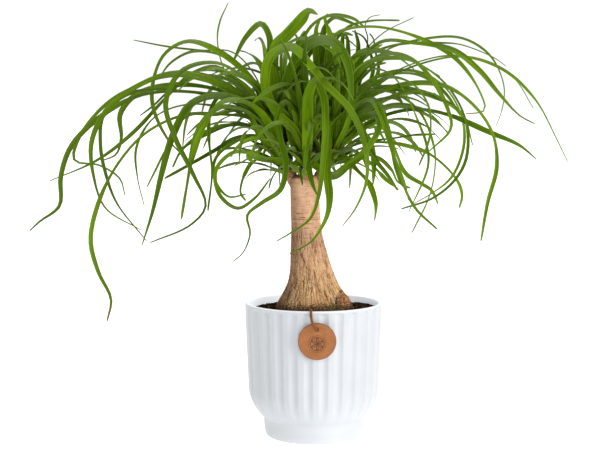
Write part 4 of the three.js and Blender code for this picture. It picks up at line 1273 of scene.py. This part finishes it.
# %% Leaves: roots and ways
CHOSEN_SEATS = (0.3, 0.95)
ROOT_INSET = 0.45
KNEE_RISE = 0.1
KNEE_ASIDE = 0.3
KNEE_DEPTH = 0.4
GOLDEN = 0.618
GROWN_POINTS = 9
DROOP_POWER = 1.2


def leaf_root(head, seat, heading):
    """The root of a leaf: inside its head's stem, on the side that the leaf grows to."""
    low, high = (np.array(end, float) for end in HEADS[head])
    inset = ROOT_INSET * blend(*HEAD_RADII, seat)
    return blend(low, high, seat) + [inset * math.cos(heading), inset * math.sin(heading), 0]


def chosen_way(head, forward, places, seat, order):
    """The way of a chosen leaf: out of its head, up through a knee, and on along its places."""
    places = np.array(places, float)
    first, middle = places[0], places[len(places) // 2]
    stem_x = blend(HEADS[head][0][0], HEADS[head][1][0], seat)
    root = leaf_root(head, seat, math.atan2(-forward, middle[0] - stem_x))
    run_x, run_z = first[0] - root[0], first[1] - root[2]
    run = math.hypot(run_x, run_z)
    aside = KNEE_ASIDE * (order * GOLDEN * 3 % 1 - 0.5)
    knee = (root[0] + run_x / 2 + aside * run_z, root[2] + run_z / 2 - aside * run_x + KNEE_RISE * run)
    flat = np.vstack([(root[0], root[2]), knee, places])
    lengths = np.concatenate([[0], np.cumsum(np.hypot(*np.diff(flat, axis=0).T))])
    depth = root[1] - forward * np.sin(math.pi / 2 * lengths / lengths[-1])
    depth[1] += KNEE_DEPTH * run * (order * GOLDEN * 5 % 1 - 0.5)
    scale = (depth - CAMERA_PLACE[1]) / -CAMERA_PLACE[1]
    x = CAMERA_PLACE[0] + (flat[:, 0] - CAMERA_PLACE[0]) * scale
    z = CAMERA_PLACE[2] + (flat[:, 1] - CAMERA_PLACE[2]) * scale
    way = np.stack([x, depth, z], axis=1)
    way[0] = root
    return way


def grown_way(head, draw):
    """The way of a grown leaf: it leaves its head at a slope and bends down more and more."""
    share = (np.arange(1, GROWN_POINTS) - 0.5) / (GROWN_POINTS - 1)
    slope = draw["slope"] - draw["droop"] * share**DROOP_POWER
    heading = draw["heading"] + draw["curl"] * share * share
    step = draw["length"] / (GROWN_POINTS - 1)
    level = np.cos(slope)
    steps = step * np.stack([level * np.cos(heading), level * np.sin(heading), np.sin(slope)], 1)
    root = leaf_root(head, draw["seat"], draw["heading"])
    return np.vstack([root, root + np.cumsum(steps, axis=0)])


# %% Leaves: room for each one
CROWN_MIDDLE = (-4, 352)
CROWN_HALF = (158, 92)
LEAF_SHIFTS = (0, 8, -8, 16, -16, 24, -24, 34, -34, 46, -46, 60, -60)
LEAF_CLEARANCE = 10.5
SISTER_CLEARANCE = 7
TRUNK_CLEARANCE = 8
BOX_MARGIN = 4
TEST_STEPS = 36
ROOT_SKIP = 4
SISTER_SKIP = 6


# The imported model's trunk is slimmer at its top, and its leaves were given room round that one.
SLIM_TOP = [(249, -9.1, 15.8), (268, -9.6, 15.2), (279, -10.4, 13.2), (284, -11.4, 9.4)]


def clear_of_trunk(samples):
    """True if every place past the root is above the trunk, or far enough out from its bark."""
    rows = np.array(TRUNK_ROWS[:-len(SLIM_TOP)] + SLIM_TOP, float)
    x, y, z = samples[ROOT_SKIP:].T
    reach = np.hypot(x - np.interp(z, rows[:, 0], rows[:, 1]), y)
    bark = np.interp(z, rows[:, 0], rows[:, 2]) + TRUNK_CLEARANCE
    return bool(np.all((z >= rows[-1, 0]) | (reach > bark)))


def clear_of(samples, leaves, skip, clearance):
    """True if every place past the roots keeps a clearance to every leaf in the list."""
    if not leaves:
        return True
    own = samples[skip:]
    others = np.concatenate([leaf["samples"][skip:] for leaf in leaves])
    apart = np.sum(own**2, 1)[:, None] + np.sum(others**2, 1)[None, :] - 2 * own @ others.T
    return bool(apart.min() > clearance * clearance)


def inside_box(samples):
    """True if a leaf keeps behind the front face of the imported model's box."""
    return samples[:, 1].min() > cad_box[0][1] / MM + BOX_MARGIN


def inside_crown(samples):
    """True if a leaf keeps inside the outline of the crown, as seen from the front."""
    scale = -CAMERA_PLACE[1] / (samples[:, 1] - CAMERA_PLACE[1])
    across = CAMERA_PLACE[0] + (samples[:, 0] - CAMERA_PLACE[0]) * scale - CROWN_MIDDLE[0]
    up = CAMERA_PLACE[2] + (samples[:, 2] - CAMERA_PLACE[2]) * scale - CROWN_MIDDLE[1]
    return bool(np.all((across / CROWN_HALF[0]) ** 2 + (up / CROWN_HALF[1]) ** 2 < 1))


def leaf_on(head, width, turns, way, **more):
    """What is known of a leaf: its head, its line, and places on that to test its room with."""
    line = Route(way)
    samples = line.spaced(TEST_STEPS)
    return {"head": head, "width": width, "turns": turns, "line": line, "samples": samples, **more}


def is_clear(leaf, leaves, others_clearance, sisters_clearance):
    """True if a leaf keeps one clearance to other heads' leaves, and another to those of its own."""
    others = [other for other in leaves if other["head"] != leaf["head"]]
    sisters = [other for other in leaves if other["head"] == leaf["head"]]
    if not clear_of(leaf["samples"], others, ROOT_SKIP, others_clearance):
        return False
    return clear_of(leaf["samples"], sisters, SISTER_SKIP, sisters_clearance)


def chosen_leaf(head, entry, order, leaves, clearances, kind):
    """A chosen leaf is shifted back or forward until it is clear, of its sister leaves too if it can be."""
    size, forward, turn_at_root, turn_at_tip, *places = entry
    width, *taper = size if isinstance(size, tuple) else (size,)
    seat = blend(*CHOSEN_SEATS, order * GOLDEN % 1)
    second = None
    for shift in LEAF_SHIFTS:
        way = chosen_way(head, forward + shift, places, seat, order)
        leaf = leaf_on(head, width, (turn_at_root, turn_at_tip), way, kind=kind, taper=taper)
        if clear_of_trunk(leaf["samples"]) and is_clear(leaf, leaves, clearances[0], 0):
            if is_clear(leaf, leaves, 0, clearances[1]):
                return leaf
            second = second or leaf
    return second


# %% Leaves: the grown ones
def group(head, count, facing, swing, longest):
    """Leaves of one head that grow to one side: how many, round which heading, and the longest."""
    return {"head": head, "count": count, "facing": facing, "swing": swing, "longest": longest}


GROWN_LEAVES = [
    group("left", 20, 130, 62, 300), group("middle", 20, 90, 80, 300), group("right", 20, 50, 62, 300),
    group("left", 3, 232, 26, 210), group("middle", 4, 270, 40, 180), group("right", 3, 308, 26, 210),
]
GROWN_RANGES = {
    "seat": (0.3, 1), "slope": (34, 84), "droop": (70, 145), "curl": (-35, 35),
    "shortest": 150, "width": (5.5, 10),
}
# Leaves that only the finished surface has: some more at the front, written as the chosen ones are, younger
# ones that stand up in the heart of each head, and short old ones that hang or stand round its stem.
FRONT_LEAVES = {
    "middle": [
        (16.5, 44, 84, 84, (-9, 318), (-8, 332), (-7, 346), (-5, 362), (-3, 377), (-1, 387), (2, 391)),
        (9, 60, 70, 75, (21, 285), (38, 296), (52, 307), (62, 320), (68, 332), (66, 338), (59, 336)),
        (11, 36, 75, 80, (-29, 380), (-25, 398), (-14, 417), (-1, 428), (13, 431), (25, 426),
         (33, 413), (38, 397), (40, 380), (39, 363), (35, 347)),
        (9, -34, 75, 75, (-2, 372), (3, 405), (2, 420), (2, 433), (3, 445), (7, 453)),
        (6, -50, 60, 45, (0, 372), (5, 398), (7, 414), (8, 430), (11, 444), (22, 455), (31, 453),
         (50, 445)),
        (7, 12, 60, 50, (2, 372), (9, 388), (17, 397), (30, 405), (43, 412), (56, 417), (69, 419),
         (82, 418), (92, 414)),
        (4, -76, 45, 40, (-2, 392), (1, 405), (7, 415), (11, 423), (14, 430), (19, 434)),
    ],
    "left": [
        (8, 50, 70, 75, (-25, 299), (-38, 301), (-52, 302), (-64, 306), (-70, 309), (-71, 305),
         (-64, 299)),
        (8.5, 40, 60, 60, (-42, 345), (-50, 367), (-61, 382), (-76, 392), (-91, 396), (-104, 393)),
        (8, 56, 60, 60, (-45, 337), (-59, 354), (-72, 363), (-87, 367), (-102, 363), (-111, 352)),
        (6, -30, 55, 45, (-30, 372), (-14, 399), (-6, 412), (-1, 420), (7, 427), (14, 428)),
        (3.2, -50, 45, 50, (-70, 378), (-90, 389), (-116, 392), (-138, 387), (-159, 374), (-173, 361),
         (-188, 350)),
        (3.4, 30, 50, 60, (-66, 350), (-85, 355), (-106, 351), (-133, 351), (-149, 337), (-159, 316),
         (-181, 273)),
    ],
    "right": [
        (8, 40, 60, 60, (25, 343), (30, 358), (42, 373), (59, 382), (75, 380), (88, 373), (96, 363)),
        (9, 0, 70, 60, (34, 345), (38, 371), (37, 393), (33, 414), (31, 431), (33, 438), (42, 436)),
        (9, -20, 80, 75, (20, 372), (26, 392), (28, 404), (26, 414), (21, 426), (16, 438), (13, 448),
         (12, 455), (15, 459)),
        (10, -44, 80, 75, (33, 365), (35, 393), (37, 410), (37, 423), (36, 433), (34, 437), (31, 437)),
        (6, -30, 60, 50, (36, 350), (43, 369), (49, 384), (55, 397), (62, 406), (71, 414), (80, 418)),
        (4.5, -60, 55, 45, (50, 372), (64, 386), (70, 400), (68, 412), (66, 423), (64, 433), (60, 438)),
        (4.5, -12, 50, 50, (48, 365), (60, 385), (64, 401), (62, 415), (58, 427), (53, 435), (41, 441)),
        (2.8, -70, 45, 50, (40, 380), (55, 412), (80, 424), (106, 428), (132, 428), (158, 426),
         (194, 412), (207, 403)),
        (2.6, -46, 40, 50, (44, 372), (81, 394), (111, 407), (142, 414), (171, 412), (196, 404),
         (217, 389), (237, 358)),
        (7.5, 26, 60, 60, (42, 362), (55, 373), (73, 379), (96, 379), (119, 374), (138, 366), (153, 361)),
        (3.4, -8, 60, 60, (44, 374), (70, 393), (101, 399), (127, 391), (145, 376), (158, 353),
         (163, 329), (160, 306), (149, 283), (128, 266), (107, 254)),
        (3, 44, 50, 60, (46, 384), (63, 400), (83, 394), (99, 373), (112, 345), (122, 319), (124, 296),
         (103, 245)),
        (5.5, 34, 60, 70, (42, 348), (52, 340), (58, 319), (68, 301), (80, 286), (91, 269)),
        (5.5, 64, 60, 70, (50, 352), (68, 355), (78, 337), (89, 309), (99, 288), (118, 276),
         (128, 269), (135, 254)),
        (4.5, -24, 50, 50, (44, 372), (65, 389), (83, 394), (104, 395), (124, 389), (143, 373),
         (158, 350)),
        (4.5, 20, 60, 60, (48, 362), (65, 368), (78, 345), (84, 319), (89, 293), (97, 274), (105, 272)),
    ],
}
HEART_LEAVES = [
    group("left", 12, 215, 130, 165), group("middle", 13, 270, 180, 185), group("right", 9, 325, 130, 160),
]
HEART_RANGES = {
    "seat": (0.7, 1), "slope": (58, 88), "droop": (50, 130), "curl": (-30, 30),
    "shortest": 110, "width": (8, 12),
}
SKIRT_LEAVES = [
    group("left", 7, 200, 110, 120), group("middle", 5, 270, 120, 100), group("right", 5, 340, 110, 110),
]
SKIRT_RANGES = {
    "seat": (0.05, 0.5), "slope": (5, 55), "droop": (50, 120), "curl": (-40, 40),
    "shortest": 45, "width": (6, 10),
}
BASE_LEAVES = [
    group("left", 4, 245, 80, 90), group("middle", 2, 270, 90, 80), group("right", 4, 295, 80, 90),
]
BASE_RANGES = {
    "seat": (0.12, 0.4), "slope": (45, 85), "droop": (20, 90), "curl": (-20, 20),
    "shortest": 50, "width": (9, 13),
}
GROWN_TURNS = ((-25, 25), (-70, 70))
KINDS = ("chosen", "grown", "front", "heart", "skirt")
GROWN_TRIES = 120
ROOMY = (LEAF_CLEARANCE, SISTER_CLEARANCE)
CLOSE = (4, 4)
TIGHT = (2.5, 2.5)


def random_numbers(seed):
    """Repeatable random numbers between 0 and 1, from a 32-bit seed."""
    whole = 0xFFFFFFFF
    state = seed
    while True:
        state = (state + 0x6D2B79F5) & whole
        mixed = (state ^ (state >> 15)) * (1 | state) & whole
        mixed = (mixed + ((mixed ^ (mixed >> 7)) * (61 | mixed)) & whole) ^ mixed
        yield (mixed ^ (mixed >> 14)) / 2**32


def grown_leaf(batch, ranges, random, leaves, clearances, kind):
    """A grown leaf is drawn again until it is clear of the trunk and of every other leaf."""
    def pick(low, high):
        return blend(low, high, next(random))

    facing, swing = batch["facing"], batch["swing"]
    for _ in range(GROWN_TRIES):
        draw = {"seat": pick(*ranges["seat"])}
        draw["heading"] = math.radians(pick(facing - swing, facing + swing))
        for key in ("slope", "droop", "curl"):
            draw[key] = math.radians(pick(*ranges[key]))
        draw["length"] = pick(ranges["shortest"], batch["longest"])
        width = pick(*ranges["width"])
        turns = tuple(pick(*span) for span in GROWN_TURNS)
        leaf = leaf_on(batch["head"], width, turns, grown_way(batch["head"], draw), kind=kind)
        inside = inside_crown(leaf["samples"]) and clear_of_trunk(leaf["samples"])
        inside = inside and (kind == "grown" or inside_box(leaf["samples"]))
        if inside and is_clear(leaf, leaves, *clearances):
            return leaf
    return None


def grow_groups(groups, ranges, seed, leaves, clearances, kind):
    """Adds grown leaves in turn, one for each group that still lacks some."""
    random = random_numbers(seed)
    for turn in range(max(batch["count"] for batch in groups)):
        for batch in groups:
            if turn < batch["count"]:
                leaf = grown_leaf(batch, ranges, random, leaves, clearances, kind)
                leaves.extend([leaf] if leaf else [])


def place_rows(table, first, leaves, clearances, kind):
    """Adds the leaves of a table of chosen ones, counted on from a first order."""
    rows = [(head, entry) for head, entries in table.items() for entry in entries]
    for order, (head, entry) in enumerate(rows, first):
        leaf = chosen_leaf(head, entry, order, leaves, clearances, kind)
        leaves.extend([leaf] if leaf else [])
    return first + len(rows)


def all_leaves():
    """Every leaf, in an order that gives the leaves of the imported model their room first."""
    leaves = []
    order = place_rows(CHOSEN_LEAVES, 0, leaves, ROOMY, "chosen")
    grow_groups(GROWN_LEAVES, GROWN_RANGES, SEED, leaves, ROOMY, "grown")
    place_rows(FRONT_LEAVES, order, leaves, CLOSE, "front")
    grow_groups(HEART_LEAVES, HEART_RANGES, SEED + 1, leaves, CLOSE, "heart")
    grow_groups(BASE_LEAVES, BASE_RANGES, SEED + 3, leaves, TIGHT, "skirt")
    grow_groups(SKIRT_LEAVES, SKIRT_RANGES, SEED + 2, leaves, CLOSE, "skirt")
    return leaves


leaves = all_leaves()
# The first leaf of the middle head is broad and in full view, so it rises straight, without its knee.
straight_way = leaves[0]["line"].points[1:-1].copy()
straight_way[1] = blend(straight_way[0], straight_way[2], 0.5)
leaves[0]["line"] = Route(straight_way)
for kind in KINDS:
    heads = [leaf["head"] for leaf in leaves if leaf["kind"] == kind]
    print(kind, "leaves:", {head: heads.count(head) for head in HEADS})

# %% [markdown]
# A leaf is a long thin blade, folded up into a channel. Its section is the same all along, only its
# width, its fold and its turn change. That is what Curve to Mesh does: it draws one flat oval along the
# leaf's line, scaled by the width. Each point of the line carries its own numbers, such as which way the
# blade's width lies, and the oval carries how far across the blade each corner is. The fold and the
# colours are worked out from those.

# %% Leaves: blades
LEAF_STEPS = 56
LEAF_SIDES = 12
LEAF_THICKNESS = 0.45
LEAST_WIDTH = 0.9
NARROW, BROAD = 4, 10
TAPER_STARTS = (0.75, 0.58)
GROWN_TAPER_START = 0.25
GROWN_TIP_SHARE = 0.12
TAPER_POWER = 0.6
EARLY_POWER = 0.85
TIP_SHARES = (0.4, 0.1)
TWISTS = (48, 10)
LEAST_TURN = 34
TWIST_START = 0.4
WAVES = (1.2, 2.4)
WAVE_SHIFT = 7
BASE_NARROWING = 0.22
BASE_PLACE = 0.03
BASE_REACH = 0.07
FOLD = 0.5
BASE_FOLD = 0.35
BASE_FOLD_REACH = 0.16
FIRST_TONE = 0.7
CREST_SLOPE = 0.5
SHARP_BEND = 0.028


def width_share(share, leaf):
    """Share of the widest width: a narrower base, an even run, and a tip that starts late or early."""
    placed = leaf["kind"] in ("chosen", "front")
    start = np.interp(leaf["width"], (NARROW, BROAD), TAPER_STARTS) if placed else GROWN_TAPER_START
    power = TAPER_POWER
    if leaf.get("taper"):
        start, power = [*leaf["taper"], EARLY_POWER][:2]
    tip = np.interp(leaf["width"], (NARROW, BROAD), TIP_SHARES) if placed else GROWN_TIP_SHARE
    base = 1 - BASE_NARROWING * np.exp(-((share - BASE_PLACE) / BASE_REACH) ** 2)
    taper = np.where(share < start, 1, (1 - tip) * ((1 - share) / (1 - start)) ** power + tip)
    return taper * base


def turned(vectors, axes, angles):
    """Vectors turned about unit axes at right angles to them."""
    return vectors * np.cos(angles)[:, None] + np.cross(axes, vectors) * np.sin(angles)[:, None]


def sideways(places, along):
    """At each place, the direction away from where the photo was taken, at right angles to the line."""
    away = places - np.array(CAMERA_PLACE, float)
    away = away - along * np.sum(away * along, axis=1, keepdims=True)
    return away / np.linalg.norm(away, axis=1, keepdims=True)


def leaf_line(leaf, tone):
    """Points along one leaf, and the numbers that each point carries."""
    places = leaf["line"].spaced(LEAF_STEPS)
    along = directions(places)
    chord = places[-1] - places[0]
    side = 1 if chord[0] >= 0 else -1
    placed = leaf["kind"] in ("chosen", "front")
    share = np.linspace(0, 1, len(places))
    twist = np.interp(leaf["width"], (NARROW, BROAD), TWISTS) * smooth_step(share / TWIST_START)
    wave = twist * np.sin(TURN * (share * blend(*WAVES, tone) + tone * WAVE_SHIFT))
    turns = blend(*leaf["turns"], share) + wave
    turns = np.clip(turns, LEAST_TURN, 180 - LEAST_TURN) if placed else turns
    level = side * sideways(places, along) if placed else carried(along, (-chord[1], chord[0], 0))
    wide = turned(level, along, side * np.radians(turns))
    half = np.maximum(leaf["width"] * width_share(share, leaf), LEAST_WIDTH) / 2
    reach = share * leaf["line"].length
    bend = np.abs(np.gradient(along[:, 2], reach))
    numbers = {
        "wide": wide, "upper": np.cross(along, wide), "half_width": half * MM, "share": share,
        "fold": FOLD + BASE_FOLD * np.exp(-share / BASE_FOLD_REACH),
        "tone": np.full(len(share), tone), "reach": reach,
        # Where the blade lies level and bends sharply, the finish paints a grey sheen.
        "painted_sheen": np.exp(-((along[:, 2] / CREST_SLOPE) ** 2)) * smooth_step(bend / SHARP_BEND),
    }
    return places, numbers


def blade_tree(material):
    """Draws an oval along each leaf's line, then folds it up into a channel and gives it its thickness."""
    tree = Shaper("leaf_blades", **{"Sides": LEAF_SIDES, "Thickness": LEAF_THICKNESS, "Fold": 1.0})
    curves = tree.make("GeometryNodeMeshToCurve", sockets={"Mesh": tree.start})
    facing = {"Curve": curves, "Normal": tree.stored("wide", "FLOAT_VECTOR")}
    curves = tree.make("GeometryNodeSetCurveNormal", {"mode": "FREE"}, facing)
    round_one = {"Resolution": tree.given("Sides"), "Radius": 1.0}
    oval = tree.make("GeometryNodeCurvePrimitiveCircle", sockets=round_one)
    x, y, _ = tree.parts(tree.make("GeometryNodeInputPosition"))
    oval = tree.store(tree.store(oval, "across", x), "rise", y)
    flattened = {"Geometry": oval, "Position": tree.join(x, 0.0, 0.0)}
    oval = tree.make("GeometryNodeSetPosition", sockets=flattened)
    half = tree.stored("half_width")
    drawn = {"Curve": curves, "Profile Curve": oval, "Scale": half, "Fill Caps": True}
    blades = tree.make("GeometryNodeCurveToMesh", sockets=drawn)
    lift = (abs(tree.stored("across")) ** 1.25 - 0.45) * tree.stored("fold") * tree.given("Fold") * half
    lift = lift + tree.stored("rise") * tree.given("Thickness") * (MM / 2)
    tree.end(tree.move(blades, tree.sized(tree.stored("upper", "FLOAT_VECTOR"), lift)), material)
    return tree


def leaf_finish():
    """Leathery green strap: fine lengthwise veins, a pale edge, a yellow-green base and some brown tips.

    It has a painted grey sheen where it bends sharply, and painted shade below and far from its root, least
    at the right.
    """
    look = Finish("strap_leaf", Coat_Weight=0.01, Coat_Roughness=0.4, Specular_IOR_Level=0.05)
    place = look.place()
    share, across, tone, reach = map(look.read, ("share", "across", "tone", "reach"))
    along_noise = look.noise(look.join(across * 1.2, reach * 0.03, tone * 40.0), 1.0, 3.0)
    vein_place = across * look.read("half_width") * (1 / MM)
    veins = look.math("SINE", vein_place * (TURN / 0.9)) * 0.5 + 0.5
    depth_of_green = look.between(tone * 0.7 + (along_noise - 0.5) * 1.5 + 0.15, 0.1, 0.95)
    look.colour = look.mix(depth_of_green, (0.06, 0.128, 0.0), (0.146, 0.266, 0.0))
    streaks = look.noise(look.join(vein_place * 1.1, reach * 0.012, tone * 90.0), 1.0, 3.0, 0.6)
    look.paint(look.between(streaks, 0.5, 0.68) * 0.55, (0.035, 0.085, 0.0))
    look.paint(look.between(streaks, 0.48, 0.32) * 0.45, (0.22, 0.37, 0.004))
    look.paint(veins * 0.18, (0.04, 0.1, 0.0))
    # Painted shade: the underside of the blade is darker.
    painted_underside_shade = look.between(look.read("rise"), 0.1, -0.1)
    look.paint(painted_underside_shade * 0.45, (0.062, 0.108, 0.008))
    # Painted sheen: grey where the blade lies level and bends sharply.
    painted_sheen = look.read("painted_sheen") * look.between(along_noise, 0.2, 0.5, 0.35, 0.65)
    look.paint(painted_sheen, (0.165, 0.215, 0.085))
    # Painted shade: darker far from the root, least at the right.
    outer = look.between(reach, 90, 280)
    shaded = look.between(look.parts(place)[0], 140, 60, 0.15, 0.45)
    look.paint(outer * shaded, (0.07, 0.115, 0.013))
    margin = look.between(abs(across), 0.82, 0.95)
    look.paint(margin * 0.4, (0.24, 0.38, 0.05))
    base = look.between(share, 0.35, 0.0)
    look.paint(base * 0.6, (0.2, 0.34, 0.005))
    dry = look.between(share + (tone - 0.5) * 0.06, 0.98, 0.995) * look.between(tone, 0.85, 0.9)
    dry = dry * look.between(reach, 230, 240)
    look.paint(dry * 0.8, (0.2, 0.12, 0.04))
    look.wear("Roughness", look.between(along_noise, 0.3, 0.7, 0.42, 0.56))
    return look.done(veins * 0.5 + look.noise(place, 0.5, 2.0) * 0.5, 0.12)


def blades(name, lines, material):
    """One piece from many leaves: their lines, with the numbers on them, drawn out into blades."""
    points, edges, numbers = [], [], []
    for order, leaf in enumerate(lines):
        places, carried_numbers = leaf_line(leaf, (order * GOLDEN + FIRST_TONE) % 1)
        start = order * len(places)
        edges += [(start + step, start + step + 1) for step in range(LEAF_STEPS)]
        points.append(places)
        numbers.append(carried_numbers)
    numbers = {key: np.concatenate([one[key] for one in numbers]) for key in numbers[0]}
    piece = new_piece(name, np.concatenate(points), edges=edges, numbers=numbers)
    return blade_tree(material).run(piece)


leaf_material = leaf_finish()
for name in HEADS:
    own = [leaf for leaf in leaves if leaf["head"] == name]
    finish_piece(blades(f"head_{name}_leaves", own, leaf_material), "leaf", f"head_{name}")

# %% [markdown]
# Under the leaves each head has a short stem, wrapped in the dry brown bases of leaves that have died
# off. They are made as the leaves are, only short, wide and close to the stem, with a finish of their
# own.

# %% Stems and dry leaf bases
STEM_SIDES = 40
STEM_ROWS = 70
STEM_CAP = 0.12
DRY_BASES = 26
DRY_TURN = math.radians(137.5)
DRY_SEATS = (0.3, 0.86)
DRY_INSET = 0.25
DRY_LENGTHS = (9, 22)
DRY_LEANS = (0.3, 0.9)
DRY_WIDTHS = (6, 10)
DRY_TURNS = (0, 10)
DRY_SHARES = (0, 0.35, 0.7, 1)


def stem_finish():
    """Dark cork between the leaf bases, rusty where it meets the trunk."""
    look = Finish("head_stem", Roughness=0.9, Specular_IOR_Level=0.15)
    place = look.place()
    grain = look.noise(place, 0.8, 4.0, 0.7)
    dark = look.shade(grain, 0.4, 0.62, (0.03, 0.02, 0.01), (0.2, 0.11, 0.05))
    rusty = look.shade(grain, 0.38, 0.6, (0.2, 0.08, 0.04), (0.5, 0.26, 0.14))
    look.colour = look.shade(look.parts(place)[2], 295, 283, dark, rusty)
    return look.done(grain, 0.9)


def make_stems():
    """The three stems as one piece: each a rough rod along the line of its head, rounded off at its top."""
    points, faces = [], []
    for order, (low, high) in enumerate(HEADS.values()):
        low, high = np.array(low, float), np.array(high, float)
        share = np.linspace(0, 1, STEM_ROWS)
        line = low + share[:, None] * (high - low)
        across = carried(directions(line), (0, 1, 0))
        up = np.cross(directions(line), across)
        angle = even_angles(STEM_SIDES)[None, :]
        height = share[:, None]
        rough = 0.25 * np.sin(5 * angle + 9 * height + order) + 0.3 * np.sin(60 * height + 2 * angle)
        cap = np.sqrt(np.clip((1 - share) / STEM_CAP, 0.02, 1))
        radius = (blend(*HEAD_RADII, share) * cap)[:, None] + rough * cap[:, None]
        own_points, own_faces = loft(round_a_line(line, across, up, radius, angle))
        faces += [[corner + sum(map(len, points)) for corner in face] for face in own_faces]
        points.append(own_points)
    return new_piece("head_stems", np.concatenate(points), faces, material=stem_finish())


def dry_finish():
    """Dead leaf base: mottled brown, ragged and matt."""
    look = Finish("dry_leaf_base", Roughness=0.85, Specular_IOR_Level=0.2)
    place = look.place()
    mottle = look.noise(place, 0.6, 4.0, 0.7)
    look.colour = look.shade(mottle, 0.38, 0.62, (0.035, 0.022, 0.01), (0.24, 0.15, 0.075))
    green = look.between(look.read("share"), 0.35, 0.0)
    look.paint(green * 0.5, (0.1, 0.13, 0.02))
    return look.done(mottle, 0.4)


def dry_bases():
    """Short wide bases in a spiral round each stem, from the trunk up."""
    lines = []
    for head in HEADS:
        for order in range(DRY_BASES):
            seat = blend(*DRY_SEATS, order / DRY_BASES)
            heading = order * DRY_TURN
            out = np.array([math.cos(heading), math.sin(heading), 0])
            root = leaf_root(head, seat, heading) + out * DRY_INSET * HEAD_RADII[0]
            length = blend(*DRY_LENGTHS, order * GOLDEN % 1)
            lean = blend(*DRY_LEANS, order * GOLDEN * 2 % 1)
            width = blend(*DRY_WIDTHS, order * GOLDEN * 3 % 1)
            rises = [np.array([0, 0, length * share]) for share in DRY_SHARES]
            way = [root + out * length * lean * share**1.5 + rise for share, rise in zip(DRY_SHARES, rises)]
            lines.append(leaf_on(head, width, DRY_TURNS, way, kind="skirt"))
    return lines


finish_piece(make_stems(), "bark")
finish_piece(blades("dry_leaf_bases", dry_bases(), dry_finish()), "leaf")

# %% [markdown]
# The picture was taken in a white studio: a big soft light from the front right, a white floor and white
# all round. A wide sun gives the soft key light. The sky is brightest in a band near the horizon, which
# stands for the white walls. It is dimmer on the left, and the floor throws light back up under the
# leaves.

# %% Floor and light
FLOOR_REACH = 60000
KEY_ANGLE = math.radians(50)
KEY_FROM = (0.74, -0.6, 0.34)
KEY_STRENGTH = 1.72
WALL_LIGHT = 1.05
CEILING_LIGHT = 0.85
WALL_TOP = 0.2
CEILING_START = 0.45
LEFT_SHADE = 0.55
SHADE_SPAN = (-0.25, -0.8)
FLOOR_GLOW = 0.55


def make_floor():
    look = Finish("studio_floor", Base_Color=(0.95, 0.95, 0.95), Roughness=0.9, Specular_IOR_Level=0.1)
    look.wear("Emission Color", (1, 1, 1))
    look.wear("Emission Strength", FLOOR_GLOW)
    reach = FLOOR_REACH
    corners = [(-reach, -reach, 0), (reach, -reach, 0), (reach, reach, 0), (-reach, reach, 0)]
    floor = new_piece("floor", corners, [(0, 1, 2, 3)], material=look.material)


def make_light():
    world = bpy.data.worlds.new("studio")
    world.use_nodes = True
    bpy.context.scene.world = world
    sky = Tree(world.node_tree)
    x, _, height = sky.parts(sky.make("ShaderNodeTexCoord", output="Generated"))
    light = sky.between(height, WALL_TOP, CEILING_START, WALL_LIGHT, CEILING_LIGHT)
    light = light * (1 - sky.between(x, *SHADE_SPAN) * LEFT_SHADE)
    background = world.node_tree.nodes["Background"]
    sky.feed(background.inputs["Color"], (1, 1, 1))
    sky.feed(background.inputs["Strength"], light)
    data = bpy.data.lights.new("key", "SUN")
    data.energy = KEY_STRENGTH
    data.angle = KEY_ANGLE
    key = in_scene("key", data)
    key.rotation_euler = Vector(KEY_FROM).to_track_quat("Z", "Y").to_euler()
    bpy.context.scene.view_settings.view_transform = "Standard"


make_floor()
make_light()
